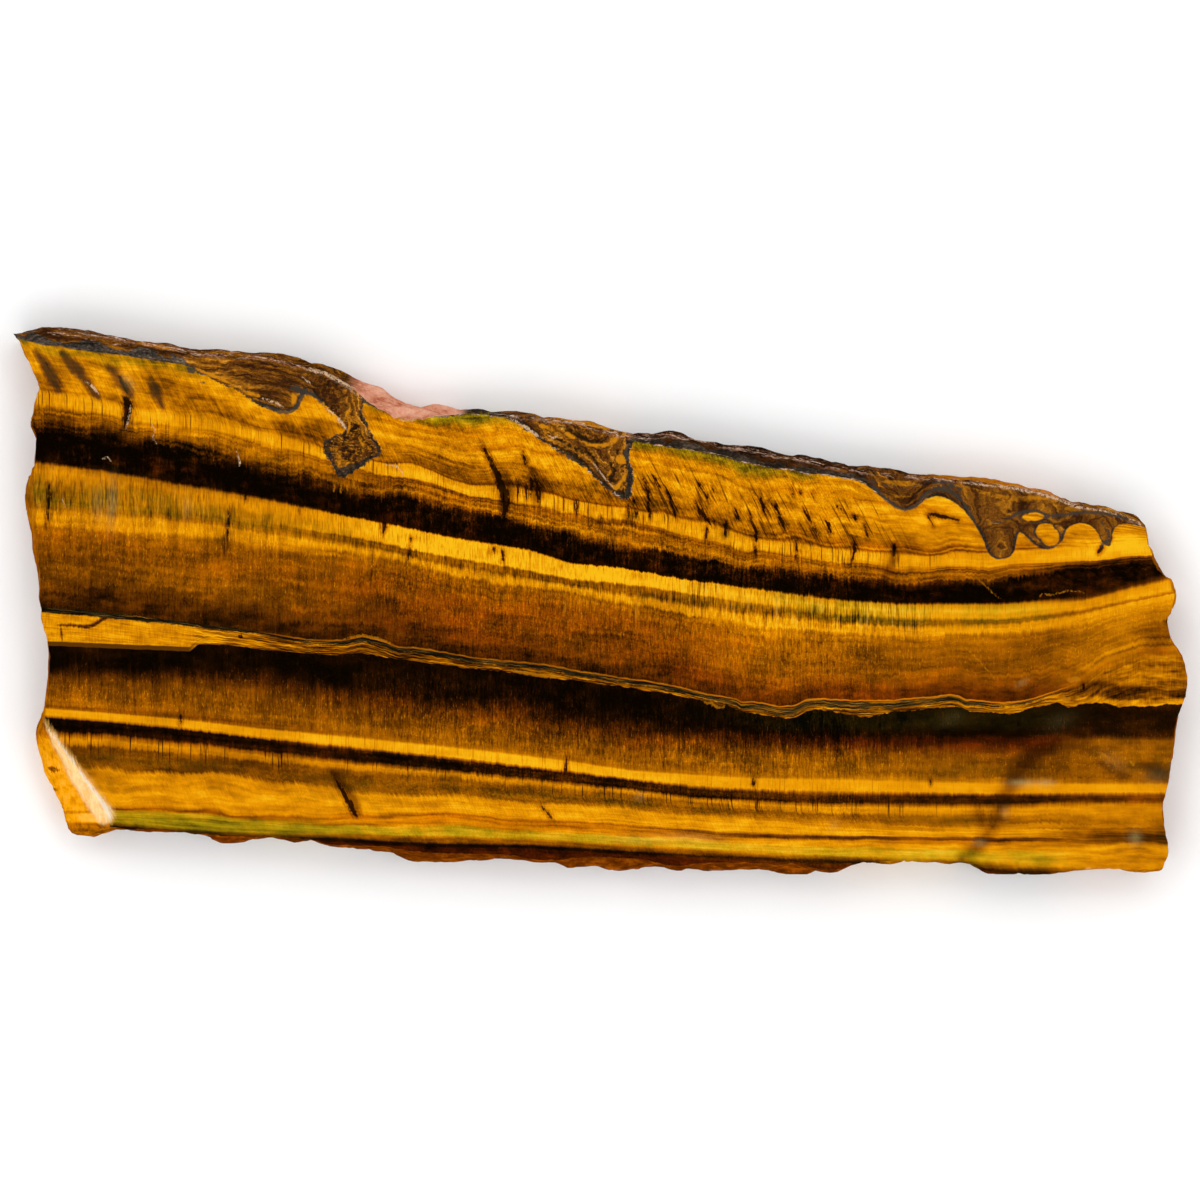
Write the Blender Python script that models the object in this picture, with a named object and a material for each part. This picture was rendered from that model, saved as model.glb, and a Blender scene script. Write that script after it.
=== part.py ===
"""Tiger's eye slab, lying on its sawn back with the polished face up.

Units are metres, +Z up. X runs along the length of the slab, Y across the
bands, and the origin is under the middle of the slab, on the surface that
it lies on. The whole slab is one piece of stone.
"""

import math

import bmesh
import bpy
from mathutils import Vector, noise

# ---------------------------------------------------------------- dimensions
SLAB_LENGTH = 0.150
SLAB_THICKNESS = 0.0085

# The outline is drawn on a grid whose steps run right and down. The slab is
# TRACE_LENGTH steps long, and TRACE_CENTRE is the middle of its box.
TRACE_LENGTH = 1176.0
TRACE_CENTRE = (600.0, 600.0)
STEP = SLAB_LENGTH / TRACE_LENGTH

SPACING = 0.0013  # longest side of a facet along the outline
LEVELS = (1.0, 0.95, 0.86, 0.77, 0.68, 0.58, 0.48, 0.38, 0.28, 0.18, 0.08, 0.0)  # share of the thickness
TURN_SMOOTHING = 0.0026  # length over which the way inwards is averaged
TERRACES = 3  # steps that the broken sides fall back in
TERRACE_SLOPE = 0.35  # share of each step that is sloping rather than level
GRAIN_SIZE = 0.0016  # small lumps on the broken sides
GRAIN_SHARE = 0.22

STONE_COLOUR = (0.62, 0.27, 0.02, 1.0)
STONE_ROUGHNESS = 0.22

# Each edge lists points (x, y, rim) in grid steps, clockwise. The outline is
# the widest reach of the rough side there, and rim is how far the polished
# face stops short of it. Below the face the side runs out to the outline over
# "drop", a share of the thickness, and falls back by "undercut" at the base.
# "relief" is the depth of the broken surface, whose ledges are "ledge_length"
# long and "ledge_height" high.
CRUST_EDGE = {
    "name": "crust edge",
    "drop": 0.55,
    "undercut": 0.0010,
    "relief": 0.0013,
    "ledge_length": 0.0065,
    "ledge_height": 0.0022,
    "points": [
        (12, 332, 2), (33, 329, 3), (43, 325, 3), (77, 330, 3), (124, 336, 4),
        (166, 344, 4), (199, 350, 5), (254, 353, 5), (281, 355, 6), (326, 367, 7),
        (352, 378, 10), (376, 388, 19), (401, 397, 25), (427, 405, 20), (447, 408, 12),
        (465, 410, 6), (516, 413, 4), (580, 420, 4), (625, 432, 5), (643, 434, 5),
        (669, 432, 4), (694, 437, 4), (748, 447, 5), (812, 458, 5), (853, 467, 4),
        (891, 471, 4), (939, 476, 4), (971, 478, 4), (1019, 484, 5), (1044, 490, 5),
        (1073, 503, 4), (1099, 506, 4), (1121, 512, 4), (1140, 520, 4),
    ],
}

RIGHT_END = {
    "name": "right end",
    "drop": 0.5,
    "undercut": 0.0014,
    "relief": 0.0014,
    "ledge_length": 0.0100,
    "ledge_height": 0.0015,
    "points": [
        (1147, 528, 3), (1146, 545, 3), (1150, 560, 4), (1158, 568, 5), (1172, 579, 5),
        (1177, 595, 4), (1175, 606, 4), (1169, 621, 4), (1174, 635, 7), (1182, 651, 9),
        (1186, 670, 6), (1188, 685, 4), (1184, 702, 4), (1178, 718, 4), (1175, 730, 3),
        (1173, 758, 3), (1168, 788, 3), (1163, 805, 3), (1165, 820, 4), (1170, 843, 4),
        (1169, 856, 3),
    ],
}

LOWER_EDGE = {
    "name": "lower edge",
    "drop": 0.5,
    "undercut": 0.0012,
    "relief": 0.0013,
    "ledge_length": 0.0060,
    "ledge_height": 0.0024,
    "points": [
        (1164, 869, 3), (1145, 871, 3), (1100, 870, 3), (1070, 872, 3), (1000, 875, 3),
        (988, 871, 3), (970, 863, 3), (955, 862, 3), (910, 861, 3), (880, 863, 4),
        (862, 866, 6), (843, 871, 9), (826, 872, 10), (777, 872, 10), (753, 870, 9),
        (700, 871, 11), (645, 866, 10), (619, 868, 12), (591, 865, 11), (528, 861, 9),
        (482, 858, 8), (457, 860, 10), (422, 861, 11), (404, 858, 10), (381, 851, 7),
        (349, 848, 6), (325, 846, 6), (311, 840, 4), (268, 840, 6), (220, 841, 7),
        (204, 835, 4), (177, 833, 4), (153, 830, 3), (122, 831, 4),
    ],
}

CORNER_CHIP = {
    "name": "corner chip",
    "drop": 0.42,
    "undercut": 0.0008,
    "relief": 0.0005,
    "ledge_length": 0.0090,
    "ledge_height": 0.0020,
    "points": [  # here each point (x, y) is followed by the place of the polished face's rim
        (106, 830, 111, 825), (93, 834, 112, 820), (77, 832, 109, 814), (68, 829, 104, 806),
        (61, 810, 96, 794), (55, 793, 87, 781), (48, 779, 78, 767), (40, 763, 67, 752),
        (37, 747, 57, 739), (35, 734, 48, 728),
    ],
}

LEFT_END = {
    "name": "left end",
    "drop": 0.5,
    "undercut": 0.0013,
    "relief": 0.0014,
    "ledge_length": 0.0110,
    "ledge_height": 0.0014,
    "points": [
        (38, 718, 7), (42, 697, 7), (46, 676, 5), (48, 657, 3), (46, 642, 3),
        (41, 627, 3), (39, 613, 3), (36, 600, 4), (35, 585, 6), (31, 563, 8),
        (27, 543, 10), (24, 516, 11), (22, 497, 11), (23, 478, 10), (27, 467, 8),
        (31, 452, 5), (33, 434, 3), (28, 426, 3), (30, 415, 3), (33, 399, 3),
        (37, 388, 3), (33, 378, 3), (25, 360, 3), (17, 342, 2),
    ],
}

EDGES = (CRUST_EDGE, RIGHT_END, LOWER_EDGE, CORNER_CHIP, LEFT_END)

# Shell-shaped chips out of the rough side: place along the outline as a share
# of the edge, height as a share of the thickness, radius, depth.
HOLLOWS = {
    "crust edge": [
        (0.10, 0.45, 0.0045, 0.0011), (0.24, 0.70, 0.0035, 0.0008), (0.36, 0.20, 0.0060, 0.0014),
        (0.52, 0.55, 0.0050, 0.0012), (0.63, 0.25, 0.0045, 0.0010), (0.76, 0.60, 0.0055, 0.0013),
        (0.90, 0.35, 0.0050, 0.0012),
    ],
    "right end": [
        (0.12, 0.40, 0.0035, 0.0010), (0.36, 0.30, 0.0060, 0.0015), (0.62, 0.65, 0.0045, 0.0010),
        (0.84, 0.35, 0.0055, 0.0013),
    ],
    "lower edge": [
        (0.06, 0.40, 0.0045, 0.0010), (0.17, 0.60, 0.0050, 0.0013), (0.31, 0.25, 0.0060, 0.0014),
        (0.47, 0.45, 0.0050, 0.0011), (0.60, 0.30, 0.0055, 0.0013), (0.78, 0.40, 0.0060, 0.0014),
        (0.93, 0.30, 0.0040, 0.0010),
    ],
    "corner chip": [(0.35, 0.15, 0.0045, 0.0010)],
    "left end": [
        (0.16, 0.35, 0.0050, 0.0012), (0.42, 0.55, 0.0055, 0.0013), (0.70, 0.30, 0.0060, 0.0014),
        (0.90, 0.60, 0.0035, 0.0009),
    ],
}


def grid_point(x, y):
    """A point of the drawing grid, in metres."""
    return Vector(((x - TRACE_CENTRE[0]) * STEP, (TRACE_CENTRE[1] - y) * STEP))


def outward(before, after):
    """The way out of the slab, level with its faces, from two points of the clockwise outline."""
    run = after - before
    return Vector((-run.y, run.x)).normalized()


def drawn_corners():
    """Every drawn point, with the step from it to the polished face's rim."""
    drawn = [(edge, point) for edge in EDGES for point in edge["points"]]
    places = [grid_point(*point[:2]) for _, point in drawn]
    corners = []
    for i, (edge, point) in enumerate(drawn):
        if len(point) == 4:
            to_rim = grid_point(*point[2:]) - places[i]
        else:
            to_rim = -outward(places[i - 1], places[(i + 1) % len(places)]) * point[2] * STEP
        corners.append({"edge": edge, "place": places[i], "to_rim": to_rim})
    return corners


def stations():
    """Evenly spread stations round the outline, each with its place along its own edge."""
    corners = drawn_corners()
    found = []
    for here, there in zip(corners, corners[1:] + corners[:1]):
        count = math.ceil((there["place"] - here["place"]).length / SPACING)
        for i in range(count):
            share = i / count
            found.append({
                "edge": here["edge"],
                "place": here["place"].lerp(there["place"], share),
                "to_rim": here["to_rim"].lerp(there["to_rim"], share),
            })
    reach = round(TURN_SMOOTHING / SPACING)
    for i, station in enumerate(found):
        before = found[i - reach]["place"]
        after = found[(i + reach) % len(found)]["place"]
        station["out"] = outward(before, after)
    for edge in EDGES:
        own = [station for station in found if station["edge"] is edge]
        travelled = 0.0
        for station, following in zip(own, own[1:] + own[-1:]):
            station["along"] = travelled
            travelled += (following["place"] - station["place"]).length
        for station in own:
            station["edge_length"] = travelled
    return found


def terraced(share):
    """A share from 0 to 1, gathered into level terraces with short slopes between them."""
    terrace, rise = divmod(share * TERRACES, 1.0)
    slope = (rise - 0.5) / TERRACE_SLOPE + 0.5
    return (terrace + min(1.0, max(0.0, slope))) / TERRACES


def broken_relief(station, height):
    """How far the broken side lies behind its outermost reach, before the rim is counted."""
    edge = station["edge"]
    place = station["place"]
    ledges = noise.noise(Vector((
        place.x / edge["ledge_length"], place.y / edge["ledge_length"], height / edge["ledge_height"]
    )))
    grains = noise.noise(Vector((place.x, place.y, height)) / GRAIN_SIZE)
    depth = edge["relief"] * (terraced(0.5 + 0.7 * ledges) + GRAIN_SHARE * grains)
    for share, level, radius, hollow_depth in HOLLOWS[edge["name"]]:
        sideways = station["along"] - share * station["edge_length"]
        upwards = height - level * SLAB_THICKNESS
        depth += hollow_depth * max(0.0, 1.0 - (sideways**2 + upwards**2) / radius**2)
    return depth


def side_column(station):
    """The points of the side below one station, from the polished face down to the back."""
    edge = station["edge"]
    depths = []
    shares = []
    for level in LEVELS:
        fallen = 1.0 - level
        shares.append(max(0.0, 1.0 - fallen / edge["drop"]))
        under = max(0.0, (fallen - edge["drop"]) / (1.0 - edge["drop"]))
        depths.append(broken_relief(station, level * SLAB_THICKNESS) + edge["undercut"] * under**2)
    nearest = min(depths[1:])
    points = []
    for level, share, depth in zip(LEVELS, shares, depths):
        inwards = 0.0 if level == 1.0 else depth - nearest
        flat = station["place"] + station["to_rim"] * share - station["out"] * inwards
        points.append(Vector((flat.x, flat.y, level * SLAB_THICKNESS)))
    return points


def slab_mesh():
    """A loft down the broken side, closed by the polished face and the sawn back."""
    columns = [side_column(station) for station in stations()]
    shape = bmesh.new()
    rings = [[shape.verts.new(column[k]) for column in columns] for k in range(len(LEVELS))]
    for upper, lower in zip(rings, rings[1:]):
        for i in range(len(columns)):
            shape.faces.new((upper[i - 1], upper[i], lower[i], lower[i - 1]))
    caps = [shape.faces.new(rings[0]), shape.faces.new(rings[-1])]
    bmesh.ops.triangulate(shape, faces=caps, ngon_method="BEAUTY")
    bmesh.ops.recalc_face_normals(shape, faces=shape.faces)
    mesh = bpy.data.meshes.new("tigers_eye_slab")
    shape.to_mesh(mesh)
    shape.free()
    return mesh


def stone_material():
    material = bpy.data.materials.new("tiger's eye")
    material.use_nodes = True
    shader = material.node_tree.nodes["Principled BSDF"]
    shader.inputs["Base Color"].default_value = STONE_COLOUR
    shader.inputs["Roughness"].default_value = STONE_ROUGHNESS
    shader.inputs["Metallic"].default_value = 0.0
    material.diffuse_color = STONE_COLOUR
    return material


def main():
    for left_over in list(bpy.data.objects):
        bpy.data.objects.remove(left_over, do_unlink=True)
    collection = bpy.data.collections.new("Tiger's eye slab")
    bpy.context.scene.collection.children.link(collection)
    mesh = slab_mesh()
    mesh.materials.append(stone_material())
    slab = bpy.data.objects.new("tigers_eye_slab", mesh)
    collection.objects.link(slab)


main()
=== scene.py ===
import math

import bmesh
import bpy
import numpy as np
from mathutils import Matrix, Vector
from mathutils.geometry import delaunay_2d_cdt
from mathutils.kdtree import KDTree


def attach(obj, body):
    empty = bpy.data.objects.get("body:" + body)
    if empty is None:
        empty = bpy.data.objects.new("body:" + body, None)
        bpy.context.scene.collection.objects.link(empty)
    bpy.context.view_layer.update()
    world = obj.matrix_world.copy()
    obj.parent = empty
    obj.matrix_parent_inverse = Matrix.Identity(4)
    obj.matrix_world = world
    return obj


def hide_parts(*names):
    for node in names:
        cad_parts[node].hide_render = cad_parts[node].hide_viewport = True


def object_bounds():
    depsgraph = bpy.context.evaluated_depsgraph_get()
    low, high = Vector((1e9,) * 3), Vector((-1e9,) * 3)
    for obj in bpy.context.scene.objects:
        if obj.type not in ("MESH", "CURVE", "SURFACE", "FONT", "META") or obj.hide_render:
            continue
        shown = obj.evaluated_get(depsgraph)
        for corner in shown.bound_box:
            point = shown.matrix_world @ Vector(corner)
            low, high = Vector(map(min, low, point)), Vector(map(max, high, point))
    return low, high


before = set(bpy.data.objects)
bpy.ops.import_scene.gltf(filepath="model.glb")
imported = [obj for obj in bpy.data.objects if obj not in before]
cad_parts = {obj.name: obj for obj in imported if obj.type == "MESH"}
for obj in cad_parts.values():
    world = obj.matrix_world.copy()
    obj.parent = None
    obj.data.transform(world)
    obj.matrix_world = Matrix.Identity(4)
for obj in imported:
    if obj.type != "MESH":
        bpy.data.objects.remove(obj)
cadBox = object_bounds()
print("frame loaded")

# The slab is drawn on a grid: steps run right and down, and the middle of the slab is at gridCentre.
slab = {
    "name": "polished_slab",
    "node": "tigers_eye_slab",
    "gridStep": 0.150 / 1176,
    "gridCentre": 600.0,
    "faceSpacing": 0.00054,  # between the points of the polished face
    "detailSpacing": 0.00020,  # the same along cracks and the rock's edge
    "detailReach": 5.0,  # how far from them, in grid steps
    "backSpacing": 0.0014,
    "sideSpacing": 0.00056,
    "sideSwell": 2.0,  # in grid steps
    "rimNick": 0.00016,  # depth of the nibbled rim of the polished face
    "seed": 7,
}
thickness = cadBox[1].z


# ---- drawn lines ----
# Lines that cross the slab from left to right. The number is the place that the line
# has in the order of layers, and the points are (right, down).
layerLines = {
    "crustBase": (440, [(0, 329), (23, 338), (51, 346), (102, 352), (140, 357), (185, 365), (250, 372),
                        (340, 390), (388, 406), (434, 417), (503, 417), (560, 424), (633, 440), (707, 452),
                        (750, 465), (859, 479), (940, 488), (1050, 503), (1150, 528), (1200, 542)]),
    "stepTop": (503, [(0, 386), (46, 392), (87, 398), (143, 412), (191, 416), (235, 426), (278, 434),
                      (319, 447), (386, 463), (414, 464), (432, 470), (452, 480), (472, 485), (498, 486),
                      (541, 492), (574, 500), (631, 509), (702, 523), (764, 540), (853, 551), (923, 556),
                      (1019, 551), (1095, 546), (1200, 536)]),
    "stepBase": (515, [(0, 401), (46, 405), (102, 415), (153, 425), (204, 430), (255, 440), (324, 459),
                       (386, 475), (432, 483), (472, 497), (498, 501), (541, 506), (631, 521), (700, 540),
                       (796, 556), (891, 566), (987, 566), (1078, 562), (1146, 555), (1200, 551)]),
    "duskTop": (538, [(0, 428), (38, 433), (179, 448), (230, 461), (306, 476), (350, 493), (426, 501),
                      (700, 559), (796, 572), (891, 582), (987, 579), (1051, 571), (1146, 563), (1200, 558)]),
    "dawnTop": (565, [(0, 456), (36, 463), (102, 471), (179, 485), (242, 495), (319, 510), (401, 526),
                      (452, 537), (529, 549), (572, 563), (618, 567), (682, 579), (750, 588), (828, 599),
                      (891, 604), (1003, 604), (1083, 598), (1130, 585), (1200, 568)]),
    "dawnBase": (578, [(0, 488), (128, 505), (230, 517), (350, 537), (426, 553), (503, 566), (572, 580),
                       (618, 583), (750, 603), (828, 612), (900, 617), (1000, 618), (1083, 610), (1200, 586)]),
    "secondLine": (596, [(0, 511), (128, 522), (230, 532), (332, 547), (400, 558), (452, 572), (554, 588),
                         (700, 614), (764, 623), (828, 628), (923, 633), (1019, 628), (1083, 619),
                         (1146, 602), (1200, 592)]),
    "seamTop": (678, [(0, 603), (38, 607), (89, 611), (128, 615), (179, 621), (204, 625), (242, 629),
                      (268, 634), (306, 640), (340, 642), (352, 640), (362, 638), (374, 640), (386, 644),
                      (398, 649), (415, 649), (440, 653), (470, 659), (500, 662), (545, 666), (575, 672),
                      (625, 680), (670, 686), (715, 696), (728, 698), (736, 699), (742, 703), (752, 702),
                      (765, 704), (780, 707), (795, 706), (806, 700), (814, 699), (855, 701), (885, 701),
                      (935, 697), (950, 695), (958, 696), (966, 700), (1000, 703), (1020, 702), (1040, 697),
                      (1066, 688), (1085, 680), (1104, 664), (1140, 652), (1200, 652)]),
    "seamBase": (690, [(0, 640), (46, 644), (115, 647), (166, 649), (190, 650), (198, 644), (230, 645),
                       (268, 650), (332, 655), (362, 653), (385, 657), (420, 662), (470, 668), (520, 673),
                       (570, 680), (640, 689), (680, 696), (708, 702), (716, 706), (726, 704), (735, 710),
                       (770, 716), (788, 719), (797, 717), (808, 711), (822, 709), (855, 716), (870, 717),
                       (885, 713), (948, 707), (960, 707), (968, 711), (1010, 714), (1040, 706), (1060, 702),
                       (1068, 708), (1085, 703), (1100, 702), (1118, 707), (1150, 706), (1200, 703)]),
    "nightBase": (722, [(0, 673), (48, 675), (179, 677), (306, 688), (400, 693), (478, 700), (605, 723),
                        (750, 734), (796, 737), (1200, 738)]),
    "brightLine": (769, [(0, 707), (41, 711), (102, 716), (179, 723), (255, 732), (350, 741), (478, 754),
                         (564, 764), (631, 774), (750, 782), (891, 785), (987, 788), (1200, 788)]),
    "darkLine": (780, [(0, 719), (48, 723), (102, 727), (179, 735), (255, 744), (332, 751), (426, 760),
                       (529, 772), (631, 783), (700, 793), (828, 799), (1200, 798)]),
    "oliveBase": (810, [(0, 766), (89, 772), (204, 777), (306, 787), (350, 795), (529, 805), (750, 820),
                        (900, 828), (1200, 830)]),
    "hairLine": (828, [(0, 800), (114, 809), (170, 812), (282, 820), (452, 818), (554, 825), (750, 836),
                       (891, 838), (1200, 840)]),
    "lowerRind": (851, [(0, 819), (121, 827), (219, 835), (320, 839), (384, 844), (440, 846), (520, 847),
                        (626, 853), (720, 858), (812, 863), (880, 866), (950, 869), (1010, 875), (1200, 878)]),
    "lowerEdge": (868, [(0, 833), (121, 835), (219, 844), (320, 850), (384, 856), (440, 864), (520, 866),
                        (626, 872), (720, 876), (812, 880), (880, 880), (1010, 885), (1200, 890)]),
}

# Lower outline of the crust and of the pockets of jasper that hang from it: (right, down, rind).
# The rind is the thickness of the dark skin inside it.
hostEdge = [
    (-20, 333, 8), (12, 337, 8), (23, 341, 8), (51, 346, 8), (102, 353, 9), (140, 358, 9), (179, 364, 8),
    (188, 366, 2), (212, 379, 1), (242, 394, 1), (253, 401, 2), (271, 409, 3), (290, 413, 3), (299, 407, 3),
    (300, 396, 3), (304, 389, 3), (314, 396, 3), (322, 402, 3), (330, 411, 1), (340, 421, 1), (348, 431, 1),
    (335, 436, 2), (321, 443, 5), (325, 454, 6), (333, 468, 6), (339, 479, 7), (353, 472, 8), (368, 462, 7),
    (382, 456, 5), (380, 446, 4), (372, 433, 4), (366, 418, 4), (361, 411, 3), (367, 404, 4), (388, 406, 4),
    (414, 414, 3), (434, 418, 3), (452, 415, 4), (478, 413, 6), (503, 417, 6), (529, 430, 4), (549, 447, 3),
    (575, 460, 3), (592, 475, 3), (608, 491, 3), (620, 498, 5), (631, 500, 6), (634, 473, 7), (628, 457, 4),
    (631, 445, 4), (633, 440, 7), (656, 446, 7), (707, 452, 6), (750, 465, 6), (828, 476, 5), (859, 480, 5),
    (875, 492, 5), (891, 505, 4), (904, 511, 4), (920, 506, 4), (925, 499, 4), (939, 495, 5), (957, 504, 5),
    (971, 518, 4), (981, 534, 4), (990, 556, 4), (1000, 560, 2), (1014, 556, 4), (1017, 537, 4),
    (1020, 531, 4), (1030, 540, 3), (1040, 549, 3), (1052, 549, 4), (1059, 545, 4), (1063, 540, 4),
    (1066, 528, 3), (1080, 522, 2), (1094, 527, 2), (1103, 545, 4), (1112, 548, 5), (1113, 528, 4),
    (1125, 523, 2), (1140, 526, 3), (1150, 530, 3), (1220, 540, 3),
]
goldIslands = [(1034, 517, 11, 4), (1045, 531, 10, 8), (1050, 537, 9.5, 9)]  # (right, down, half width, half height)

# Cracks and veins: (right, down, half width) along each.
darkCracks = [
    [(38, 352, 0.3), (47, 366, 0.8), (57, 384, 0.4)],
    [(116, 373, 1), (124, 385, 2.2), (131, 397, 1)],
    [(124, 396, 2), (128, 404, 4.5), (127, 417, 3.5), (124, 430, 1)],
    [(479, 440, 0.8), (489, 458, 2), (498, 477, 3), (503, 490, 4.6), (506, 502, 4.2), (503, 521, 1)],
    [(522, 451, 0.8), (527, 466, 1)],
    [(517, 476, 0.4), (519, 486, 1.2), (519, 494, 0.6)],
    [(530, 472, 0.8), (532, 482, 2.2), (531, 496, 1)],
    [(535, 474, 1.4), (538, 488, 2.4), (538, 503, 1.2)],
    [(541, 478, 0.5), (542, 490, 0.9)],
    [(526, 483, 1.2), (526, 500, 1)],
    [(576, 496, 1), (577, 516, 1)],
    [(601, 515, 0.8), (600, 526, 0.8)],
    [(628, 500, 1), (629, 522, 0.8)],
    [(633, 498, 1), (637, 521, 0.8)],
    [(641, 473, 1), (648, 492, 1.6), (650, 526, 1)],
    [(650, 473, 0.8), (655, 479, 1.4), (660, 487, 1.4)],
    [(661, 480, 0.7), (670, 496, 1.4), (677, 521, 1)],
    [(694, 499, 1.4), (701, 512, 2.6), (713, 527, 0.8)],
    [(698, 482, 0.7), (709, 500, 1.3)],
    [(712, 485, 0.6), (714, 493, 0.8)],
    [(707, 526, 0.8), (706, 541, 1)],
    [(726, 521, 1.2), (725, 537, 1.6)],
    [(735, 508, 1), (739, 521, 1.8)],
    [(747, 511, 0.6), (756, 532, 1.3), (755, 560, 1)],
    [(760, 496, 1), (763, 505, 1.8), (766, 514, 1.2)],
    [(769, 497, 0.7), (778, 512, 1.6), (785, 530, 1.8)],
    [(793, 485, 0.7), (793, 496, 0.8)],
    [(799, 488, 0.8), (801, 495, 0.8)],
    [(797, 537, 0.8), (796, 560, 1.4)],
    [(803, 508, 0.6), (817, 534, 1.2)],
    [(813, 491, 0.6), (814, 500, 0.8)],
    [(825, 518, 1), (828, 525, 2.4), (831, 533, 1.2)],
    [(836, 504, 0.7), (843, 512, 0.7)],
    [(853, 515, 1.2), (856, 521, 1.2)],
    [(864, 522, 0.7), (868, 539, 1.1)],
    [(854, 538, 1.2), (855, 548, 2), (852, 562, 1.4)],
    [(895, 544, 2), (893, 558, 1.4)],
    [(385, 519, 2), (384, 528, 2), (382, 537, 1)],
    [(50, 482, 0.6), (49, 500, 1), (47, 528, 0.5)],
    [(229, 506, 0.6), (228, 530, 0.9), (226, 552, 0.4)],
    [(246, 491, 1.6), (245, 503, 0.6)],
    [(411, 536, 0.5), (409, 556, 0.9), (407, 562, 0.4)],
    [(332, 772, 0.2), (338, 783, 1.2), (345, 795, 2.6), (351, 806, 3.2), (355, 813, 3), (357, 817, 1.6)],
    [(181, 709, 0.6), (180, 727, 0.8)],
    [(930, 778, 0.6), (931, 786, 0.8)],
    [(1083, 682, 1), (1084, 690, 0.5)],
    [(503, 549, 0.8), (502, 565, 0.8)],
    [(492, 545, 0.9), (495, 556, 0.9)],
    [(568, 758, 0.9), (566, 766, 1.4), (565, 774, 0.9)],
    [(753, 774, 0.6), (754, 786, 1.2)],
    [(540, 805, 0.5), (546, 812, 0.7), (553, 820, 0.4)],
    [(58, 625, 1.4), (72, 625, 1.5), (86, 627, 1.6), (94, 625, 1.5), (101, 620, 1.5), (106, 617, 1.8), (114, 618, 1)],
    [(61, 626, 0.5), (62, 641, 0.7)],
    [(194, 626, 0.6), (206, 627, 1), (216, 629, 0.7)],
    [(237, 637, 0.9), (243, 637, 0.9)],
    [(926, 513, 1.2), (936, 515, 1.8), (950, 518, 1.4), (962, 521, 0.8)],
    [(927, 514, 0.8), (934, 527, 0.8)],
    [(1103, 545, 2), (1098, 553, 2)],
    [(1104, 542, 1.6), (1112, 538, 1.4)],
    [(1176, 621, 0.8), (1166, 621, 1.4)],
    [(46, 767, 0.6), (54, 770, 2.2), (62, 770, 0.8)],
    [(52, 789, 1), (57, 792, 1)],
    [(114, 830, 1.2), (122, 831, 1.6), (140, 830, 0.8)],
]
paleVeins = [
    [(84, 380, 0.6), (92, 386, 1.4), (100, 396, 1)],
    [(131, 404, 0.9), (129, 416, 0.9), (126, 430, 1.3)],
    [(149, 419, 0.4), (155, 430, 0.5), (153, 438, 0.5), (158, 447, 0.4)],
    [(99, 460, 0.5), (108, 457, 0.7), (112, 463, 0.5)],
    [(236, 449, 0.5), (240, 463, 0.9), (238, 470, 0.5)],
    [(257, 397, 0.5), (268, 400, 1.1), (278, 404, 1.1), (286, 408, 0.6)],
    [(324, 407, 0.8), (332, 413, 1.4), (340, 421, 2.2), (348, 431, 0.9)],
    [(300, 376, 0.5), (313, 385, 0.7)],
    [(299, 367, 0.6), (312, 371, 1.2), (325, 374, 1.2), (338, 380, 1.6), (350, 386, 1.8), (362, 391, 2)],
    [(362, 393, 1), (368, 398, 3.4), (374, 400, 1)],
    [(506, 417, 0.6), (515, 421, 1.2), (525, 427, 1.6), (537, 435, 1.4), (545, 440, 0.8)],
    [(590, 458, 0.4), (596, 467, 0.7), (603, 476, 0.7), (611, 485, 0.7), (617, 497, 0.6)],
    [(546, 434, 0.6), (552, 438, 1), (559, 436, 0.8)],
    [(935, 480, 0.4), (975, 484, 0.8), (1010, 488, 1), (1040, 494, 1), (1060, 500, 1.2), (1075, 507, 0.9),
     (1100, 510, 0.9), (1130, 517, 0.9), (1147, 527, 0.6)],
    [(62, 497, 0.3), (64, 503, 0.6), (66, 510, 0.3)],
    [(380, 464, 0.4), (396, 466, 0.5), (402, 472, 0.5), (402, 480, 0.4)],
]
goldVeins = [
    [(933, 528, 0.2), (945, 545, 0.3), (960, 570, 0.3), (966, 577, 0.5), (979, 580, 0.4), (988, 588, 0.5), (996, 596, 0.4), (1008, 603, 0.5)],
    [(1036, 603, 0.2), (1042, 594, 0.4), (1053, 595, 0.3), (1066, 591, 0.4), (1083, 592, 0.4), (1088, 598, 0.2)],
    [(502, 669, 0.5), (520, 672, 1.4), (545, 676, 1.6), (562, 677, 1.4), (576, 679, 0.6)],
    [(293, 393, 1.5), (294, 400, 2), (296, 404, 0.5)],
    [(340, 640, 0.5), (352, 637, 0.8), (363, 635, 0.8), (376, 638, 0.8), (400, 647, 0.5)],
    [(1067, 680, 2.4), (1080, 679, 2.4)],
    [(1061, 694, 0.8), (1066, 701, 2.4), (1072, 698, 1)],
    [(960, 642, 0.2), (980, 662, 0.4), (998, 682, 0.3)],
    [(930, 632, 0.2), (946, 650, 0.3), (958, 664, 0.2)],
    [(638, 588, 0.9), (637, 605, 1.8), (636, 624, 0.8)],
    [(671, 590, 0.8), (670, 600, 1.5), (670, 613, 0.6)],
    [(565, 598, 0.3), (565, 610, 1), (563, 619, 0.3)],
    [(587, 598, 0.3), (588, 608, 0.9), (589, 617, 0.3)],
    [(669, 626, 0.3), (669, 634, 0.9)],
    [(677, 628, 0.3), (677, 636, 0.8)],
    [(335, 481, 0.5), (334, 493, 0.8)],
    [(341, 484, 0.5), (341, 494, 0.8)],
    [(347, 483, 0.5), (348, 492, 0.7)],
    [(354, 479, 0.6), (353, 488, 0.7)],
    [(699, 698, 0.4), (706, 703, 0.8), (712, 703, 0.7), (716, 707, 0.9), (723, 708, 0.8), (728, 702, 0.6)],
    [(1098, 752, 1), (1108, 757, 1.6)],
    [(1130, 760, 1), (1134, 766, 1.4)],
]
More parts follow.
